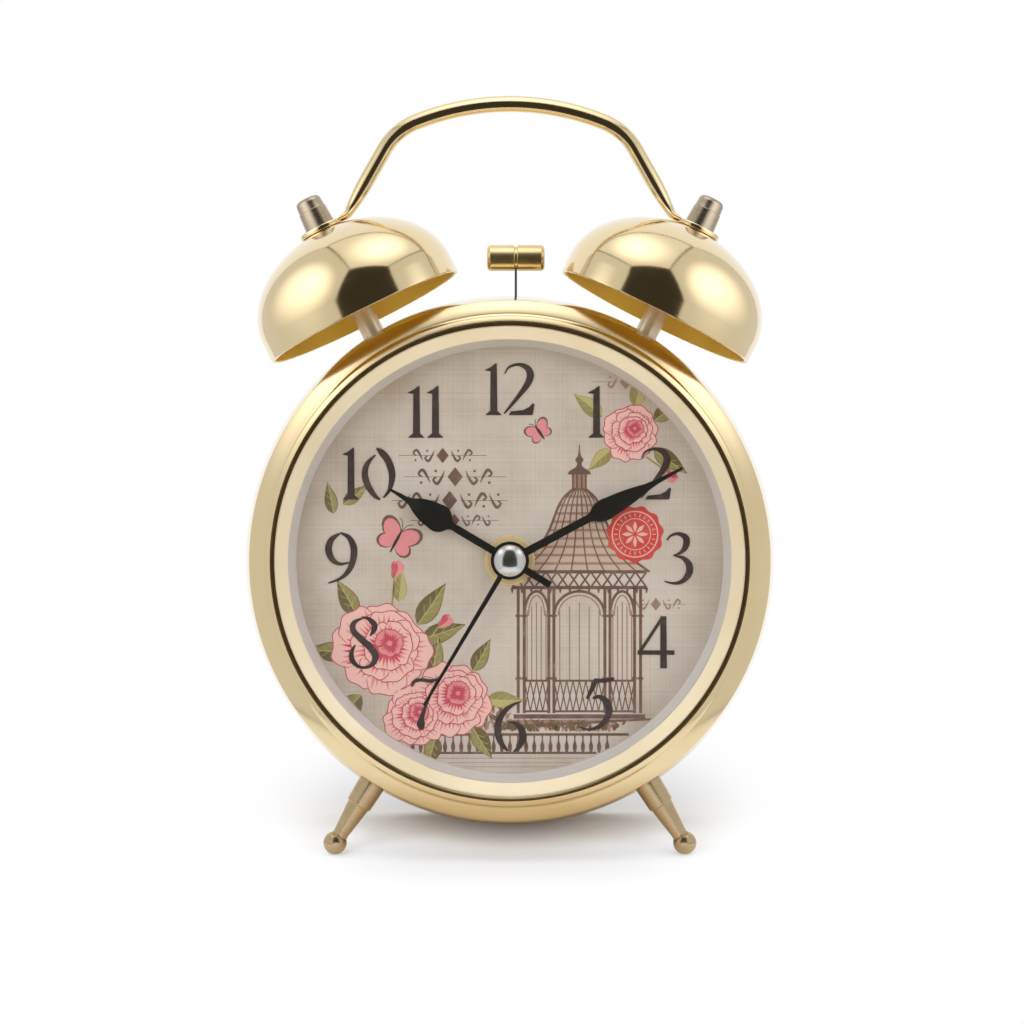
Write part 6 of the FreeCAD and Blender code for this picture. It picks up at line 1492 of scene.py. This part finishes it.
def fluted_ring(form, middle, wide, inset, depth):
    """A ring of points, drawn in at each flute, less and less as the ring lies further inside."""
    ring = []
    for angle in (2 * math.pi * step / KNOB_POINTS for step in range(KNOB_POINTS)):
        drawn_in = FLUTE_DEEP * max(0, math.cos(FLUTES * angle)) ** 0.8 * max(0, 1 - inset / FLUTE_FADES)
        reach = max(wide - inset - drawn_in + FOOT_FLARE * (inset == 0), 0)
        ring.append(form.verts.new((middle[0] + reach * math.cos(angle), depth,
                                    middle[1] + reach * math.sin(angle))))
    return ring


def fluted_knob(node):
    """A knob with soft flutes, a rounded edge and a dished end, in place of its node."""
    across, up, wide, front, back = middle_of(node)
    turns = [math.pi / 12 * step for step in range(7)]
    profile = [(wide, front), (0, front)]
    profile += [(KNOB_EDGE * (1 - math.cos(turn)), back - KNOB_EDGE * (1 - math.sin(turn)))
                for turn in turns]
    profile += [(DISH_START, back), (DISH_START + DISH_LIP, back - DISH_LIP_H),
                (DISH_START + DISH_WIDE, back - DISH_DEEP), (wide, back - DISH_DEEP)]
    form = bmesh.new()
    rings = [fluted_ring(form, (across, up), wide, inset, depth) for inset, depth in profile]
    for first, second in zip(rings, rings[1:]):
        bridged(form, first, second)
    name = "fluted_" + node
    return flat_normals(shown(name, closed_mesh(name, form, 35), node, "knob_black", node))


for node in KNOBS:
    print(node, len(fluted_knob(node).data.polygons), "faces")

# %% [markdown]
# The mould has raised marks that need no words: a curved arrow over each knob for the way it turns, a
# small clock face beside one and a small bell beside the other, the same bell at one end of the
# alarm switch, and finger ridges on the battery door. They stand a third of a millimetre high, and their
# tops have a little gloss, so that they show, black on black.

# %% Raised marks on the back
MARK_HIGH, MARK_GAP, ARROW_HALF, ARROW_FIRST, ARROW_LAST = 0.35, 2.6, 0.35, 40, 140
BELL_MARK = [(-2.0, -1.3), (2.0, -1.3), (1.45, -0.6), (1.25, 0.5), (0.8, 1.3), (0, 1.65), (-0.8, 1.3),
             (-1.25, 0.5), (-1.45, -0.6)]
CLAPPER = round_about((0, -1.75), 0.5, 0, 330, 11)
ARROW_HEAD = [(-1.3, 0.4), (1.0, 1.3), (0.9, -1.6)]
CLOCK_HANDS = (bar(-0.2, 0.2, 0, 1.6), bar(0, 1.1, 0, 0.35))
cover_back = middle_of("back_cover")[4]


def raised(name, outlines, body="case", slot="knob_black"):
    """Low marks on the back from outlines seen in the clock's own directions."""
    form = bmesh.new()
    for outline in outlines:
        mark = mesh_of("mark", prism(outline, -LOOSE, MARK_HIGH, turned_to(0, cover_back)))
        form.from_mesh(mark)
        bpy.data.meshes.remove(mark)
    return shown(name, closed_mesh(name, form, 30), body, slot)


def band_outline(centre, radius, half, first, last, steps=40):
    """A piece of a ring as an outline."""
    return (round_about(centre, radius + half, first, last, steps)
            + round_about(centre, radius - half, last, first, steps))


def moved(outline, across, up, size=1.0):
    return [(across + x * size, up + y * size) for x, y in outline]


print("marks stand on the cover, at a depth of", round(cover_back, 2))

# %% [markdown]
# Every mark is placed from the piece that it explains, so it follows when that piece is moved. The rim
# of the cover stops short on both sides of the battery door, which would strike it as it opens.

# %% Marks for the knobs, the switch and the door
RIM_R, RIM_HALF, RIM_FIRST, RIM_LAST = 51.6, 0.5, -50, 230
RIDGES, RIDGE_PITCH, RIDGE_H, RIDGE_HALF, RIDGE_TOP_Z = 5, 1.3, 0.6, 4.5, -33.0
for node in KNOBS:
    across, up, wide, _, _ = middle_of(node)
    radius = wide + MARK_GAP
    tip = round_about((across, up), radius, ARROW_FIRST, ARROW_LAST)[0]
    marks = [band_outline((across, up), radius, ARROW_HALF, ARROW_FIRST, ARROW_LAST),
             moved(ARROW_HEAD, *tip)]
    if node == "time_knob":
        marks.append(band_outline((across, up - radius - 2.0), 2.0, 0.25, 0, 352))
        marks += [moved(hand_mark, across, up - radius - 2.2) for hand_mark in CLOCK_HANDS]
    else:
        marks += [moved(mark, across, up - radius - 1.8) for mark in (BELL_MARK, CLAPPER)]
    raised("marks_" + node, marks)
switch_x, switch_z, switch_half, _, _ = middle_of("alarm_switch_body")
off_switch = switch_half + MARK_GAP
raised("marks_switch", [moved(mark, switch_x + off_switch, switch_z, 0.8) for mark in (BELL_MARK, CLAPPER)]
       + [round_about((switch_x - off_switch, switch_z), 0.8, 0, 350, 23)])
raised("rim_of_cover", [band_outline((0, 0), RIM_R, RIM_HALF, RIM_FIRST, RIM_LAST, 160)], slot="back_black")
ridge = bar(-RIDGE_HALF, RIDGE_HALF, -RIDGE_H, 0)
raised("door_ridges", [moved(ridge, 0, RIDGE_TOP_Z - RIDGE_PITCH * row) for row in range(RIDGES)],
       "battery_door")
print("rim from", RIM_FIRST, "to", RIM_LAST, "degrees, ridges on the door", RIDGES)

# %% [markdown]
# A shiny clock shows its surroundings, so it is photographed in a small light tent: a sheet of lit
# cloth on each side, one above, and a dark opening in front, through which the camera looks. Where two
# sheets meet, a thin dark seam shows in the metal. The tent is built here as four flat sheets, and
# behind each lit one stands a dark frame, a little larger. Only reflections see the tent: it lights
# nothing and hides nothing. Each lit sheet is brightest at its heart.

# %% Light tent
TENT_FRONT_Y, TENT_BACK_Y = -105, 56
TENT_FRONT_HALF, TENT_BACK_HALF = 68, 105
TENT_FRONT_TOP, TENT_BACK_TOP, OPENING_FOOT = 258, 242, 22
SHEET_SIZE, FRAME_SIZE, FRAME_BEHIND = 0.97, 1.03, 1.5


def glowing(name, light, colour=(1, 1, 1)):
    """A sheet that gives an even light or a light worked out by a wire."""
    finish = Finish(name)
    strength = light(finish) if callable(light) else light
    glow = finish.start.node("ShaderNodeEmission", None, {"Color": (*colour, 1.0), "Strength": strength})
    return finish.ended(glow)


def softbox(heart, reach, peak=2.1, rim=0.74):
    """Light that falls off within a reach of a sheet's heart, both in millimetres."""
    def light(finish):
        away = finish.start.node("ShaderNodeVectorMath", {"operation": "DISTANCE"},
                                 {0: finish.point, 1: Vector(heart) * MM}, "Value")
        return peak - away.between(0, reach * MM) * (peak - rim)
    return light


def sheet(name, corners, size, material):
    """A flat sheet between corners in millimetres, grown or shrunk about its middle, for the stage."""
    middle = sum((Vector(corner) for corner in corners), Vector()) / len(corners)
    form = bmesh.new()
    form.faces.new([form.verts.new((middle + (Vector(corner) - middle) * size) * MM) for corner in corners])
    piece = placed(name, mesh_of(name, form))
    piece.data.materials.append(material)
    piece.visible_camera = piece.visible_shadow = piece.visible_diffuse = False
    piece.visible_transmission = False
    return piece


def tent_corners(side, top):
    """The front and back corner of the tent on one side, low or high."""
    return ((side * TENT_FRONT_HALF, TENT_FRONT_Y, TENT_FRONT_TOP * top),
            (side * TENT_BACK_HALF, TENT_BACK_Y, TENT_BACK_TOP * top))


frame_dark = glowing("tent_frame", 0.14, (1.0, 0.85, 0.6))
roof = [*tent_corners(-1, 1), *tent_corners(1, 1)[::-1]]
sheet("tent_roof", roof, SHEET_SIZE, glowing("tent_roof", softbox((0, -15, 250), 90, 2.1, 0.92)))
sheet("tent_roof_frame", roof, FRAME_SIZE, frame_dark).location.z = FRAME_BEHIND * MM
for name, side in (("tent_left", -1), ("tent_right", 1)):
    wall = [*tent_corners(side, 0), *tent_corners(side, 1)[::-1]]
    sheet(name, wall, SHEET_SIZE, glowing(name, softbox((side * 88, -30, 150), 62)))
    sheet(name + "_frame", wall, FRAME_SIZE, frame_dark).location.x = side * FRAME_BEHIND * MM
opening = [(side * TENT_FRONT_HALF, TENT_FRONT_Y, height) for side, height in
           ((-1, OPENING_FOOT), (1, OPENING_FOOT), (1, TENT_FRONT_TOP), (-1, TENT_FRONT_TOP))]
sheet("tent_opening", opening, 1.0, glowing("tent_opening", 0.045, (1.0, 0.85, 0.62)))
print("tent", 2 * TENT_BACK_HALF, "wide and", TENT_FRONT_TOP, "high")

# %% [markdown]
# The floor is white paper. Near the clock it is matt and takes the shadow; further away it fades to
# pure white, for the camera, in the metal and through the glass. Near the clock, light and shade are
# also painted into its colour. Every ray but the camera's sees the paper darker and warm: a painted
# reflection and bounce light of brass-lit paper, which shows in the foot of the drum and in the feet.
# What the camera sees is painted by its place: a painted lift of the shadow under and beside the
# clock, a cool tint in front that takes the brass's warmth out of that shadow, and painted shade
# behind the clock.

# %% Floor
# Painted light and shade on the floor: a darker warm colour for other rays is painted reflection; for the camera,
# the shadow is lifted under and beside the clock, tinted cool in front, and painted shade lies behind.
PAINTED_WARM_REFLECTION, PAINTED_COOL_FRONT, PAINTED_SHADE_BEHIND = (0.66, 0.58, 0.46), (0.875, 0.885, 0.905), (0.73, 0.73, 0.735)
PAINTED_LIFT_MIDDLE, PAINTED_LIFT_SIDES = (1.30, 1.42, 1.62), (1.02, 1.06, 1.12)
BESIDE, IN_FRONT, BEHIND = (29, 44), (-0.036, -0.012), (-0.012, 0.014)  # millimetres, then metres
FLOOR_R, OVAL_MIDDLE, OVAL_SHAPE, FADE = 6.0, (0, 0.03, 0), (1.3, 0.7, 1), (0.046, 0.082)


def ray_kinds(start):
    """1 for each ray that the camera sees: straight, mirrored, or through glass."""
    ray = start.node("ShaderNodeLightPath").socket.node
    return [Wire(start.tree, ray.outputs["Is " + kind + " Ray"])
            for kind in ("Camera", "Glossy", "Transmission")]


def paper():
    """White paper: matt near the clock, pure white beyond."""
    finish = Finish("paper")
    white = finish.start.node("ShaderNodeEmission", None, {"Color": (1, 1, 1, 1), "Strength": 1.0})
    seen, mirrored_ray, through = ray_kinds(finish.start)
    away = finish.start.node("ShaderNodeVectorMath", {"operation": "SUBTRACT"},
                             {0: finish.point, 1: OVAL_MIDDLE})
    oval = finish.start.node("ShaderNodeVectorMath", {"operation": "MULTIPLY"}, {0: away, 1: OVAL_SHAPE})
    distance = finish.start.node("ShaderNodeVectorMath", {"operation": "LENGTH"}, {0: oval}, "Value")
    depth = finish.point.dot((0, 1, 0))
    # The camera sees painted light and shade here: the shadow lifted under and beside the clock, cool in front,
    # painted shade behind; other rays see the darker warm paper, a painted reflection.
    painted_lift = abs(finish.x).between(*BESIDE).mix(PAINTED_LIFT_MIDDLE, PAINTED_LIFT_SIDES)
    painted_front = depth.between(*IN_FRONT).mix(PAINTED_COOL_FRONT, painted_lift)
    shade = seen.mix(PAINTED_WARM_REFLECTION, depth.between(*BEHIND).mix(painted_front, PAINTED_SHADE_BEHIND))
    matt = finish.start.node("ShaderNodeBsdfDiffuse", None, {"Color": shade})
    far = distance.between(*FADE) * (seen + mirrored_ray + through)
    return finish.ended(finish.start.node("ShaderNodeMixShader", None, {0: far, 1: matt, 2: white}))


form = bmesh.new()
bmesh.ops.create_circle(form, cap_ends=True, segments=96, radius=FLOOR_R)
floor = placed("floor", mesh_of("floor", form))
floor.data.materials.append(paper())
print("floor", 2 * FLOOR_R, "metres across")

# %% [markdown]
# The tent only draws reflections. What lights the dial, the plastics and the floor are three large
# lamps and the pale room. The room is a soft grey light for surfaces and pure white where a ray that
# the camera sees meets it. The lamps stay out of reflections, which the tent gives.

# %% Room and lamps
ROOM_GREY, MIDDLE = (0.62, 0.62, 0.63, 1.0), (0, 0, 0.08)
LAMPS = {"key": (0.7, (-0.45, -0.9, 0.45), 4.9), "fill": (0.7, (0.55, -0.85, 0.3), 3.4),
         "top": (1.3, (0.0, 0.25, 0.95), 10.2)}  # size, place and power
world = bpy.context.scene.world or bpy.data.worlds.new("room")
bpy.context.scene.world = world
world.use_nodes = True
world.node_tree.nodes.clear()
room = Wire(world.node_tree)
room_seen, room_mirrored, room_through = ray_kinds(room)
soft = room.node("ShaderNodeBackground", None, {"Color": ROOM_GREY, "Strength": 1.0})
bright = room.node("ShaderNodeBackground", None, {"Color": (1, 1, 1, 1), "Strength": 1.0})
mixed = room.node("ShaderNodeMixShader", None,
                  {0: room_seen + room_mirrored + room_through, 1: soft, 2: bright})
room.node("ShaderNodeOutputWorld", None, {"Surface": mixed})


def lamp(name, size, place, power):
    """A soft square lamp that faces the clock's middle and stays out of reflections."""
    light = bpy.data.lights.new(name, "AREA")
    light.shape, light.size, light.size_y = "RECTANGLE", size, size
    light.energy = power
    piece = placed(name, light)
    piece.location = place
    piece.rotation_euler = (Vector(MIDDLE) - Vector(place)).to_track_quat("-Z", "Y").to_euler()
    piece.visible_glossy = False
    return piece


lamps = [lamp(name, *settings) for name, settings in LAMPS.items()]
print("lamps give", round(sum(piece.data.energy for piece in lamps), 1), "watts")

# %% [markdown]
# The photograph is taken from a little above, straight on, with a long lens. The camera stands in the
# clock's own frame, so that the rings of the dial come out as nearly true circles.

# %% Camera
CAMERA_AWAY, CAMERA_UP, LOOK_ACROSS, LOOK_UP, VIEW_ANGLE = 600, 11, 0.45, 10.42, 20.44
camera_data = bpy.data.cameras.new("view")
camera = placed("view", camera_data)
bpy.context.scene.camera = camera
camera.location = CLOCK @ Vector((0, -CAMERA_AWAY, CAMERA_UP))
target = CLOCK @ Vector((LOOK_ACROSS, 0, LOOK_UP))
camera.rotation_euler = (target - camera.location).to_track_quat("-Z", "Y").to_euler()
camera_data.sensor_width = 36
camera_data.angle = math.radians(VIEW_ANGLE)
bpy.context.scene.view_settings.view_transform = "Standard"
print("camera at", [round(value, 3) for value in camera.location])

# %% [markdown]
# of the solids and that of the dressed clock, and the finished scene is handed over.
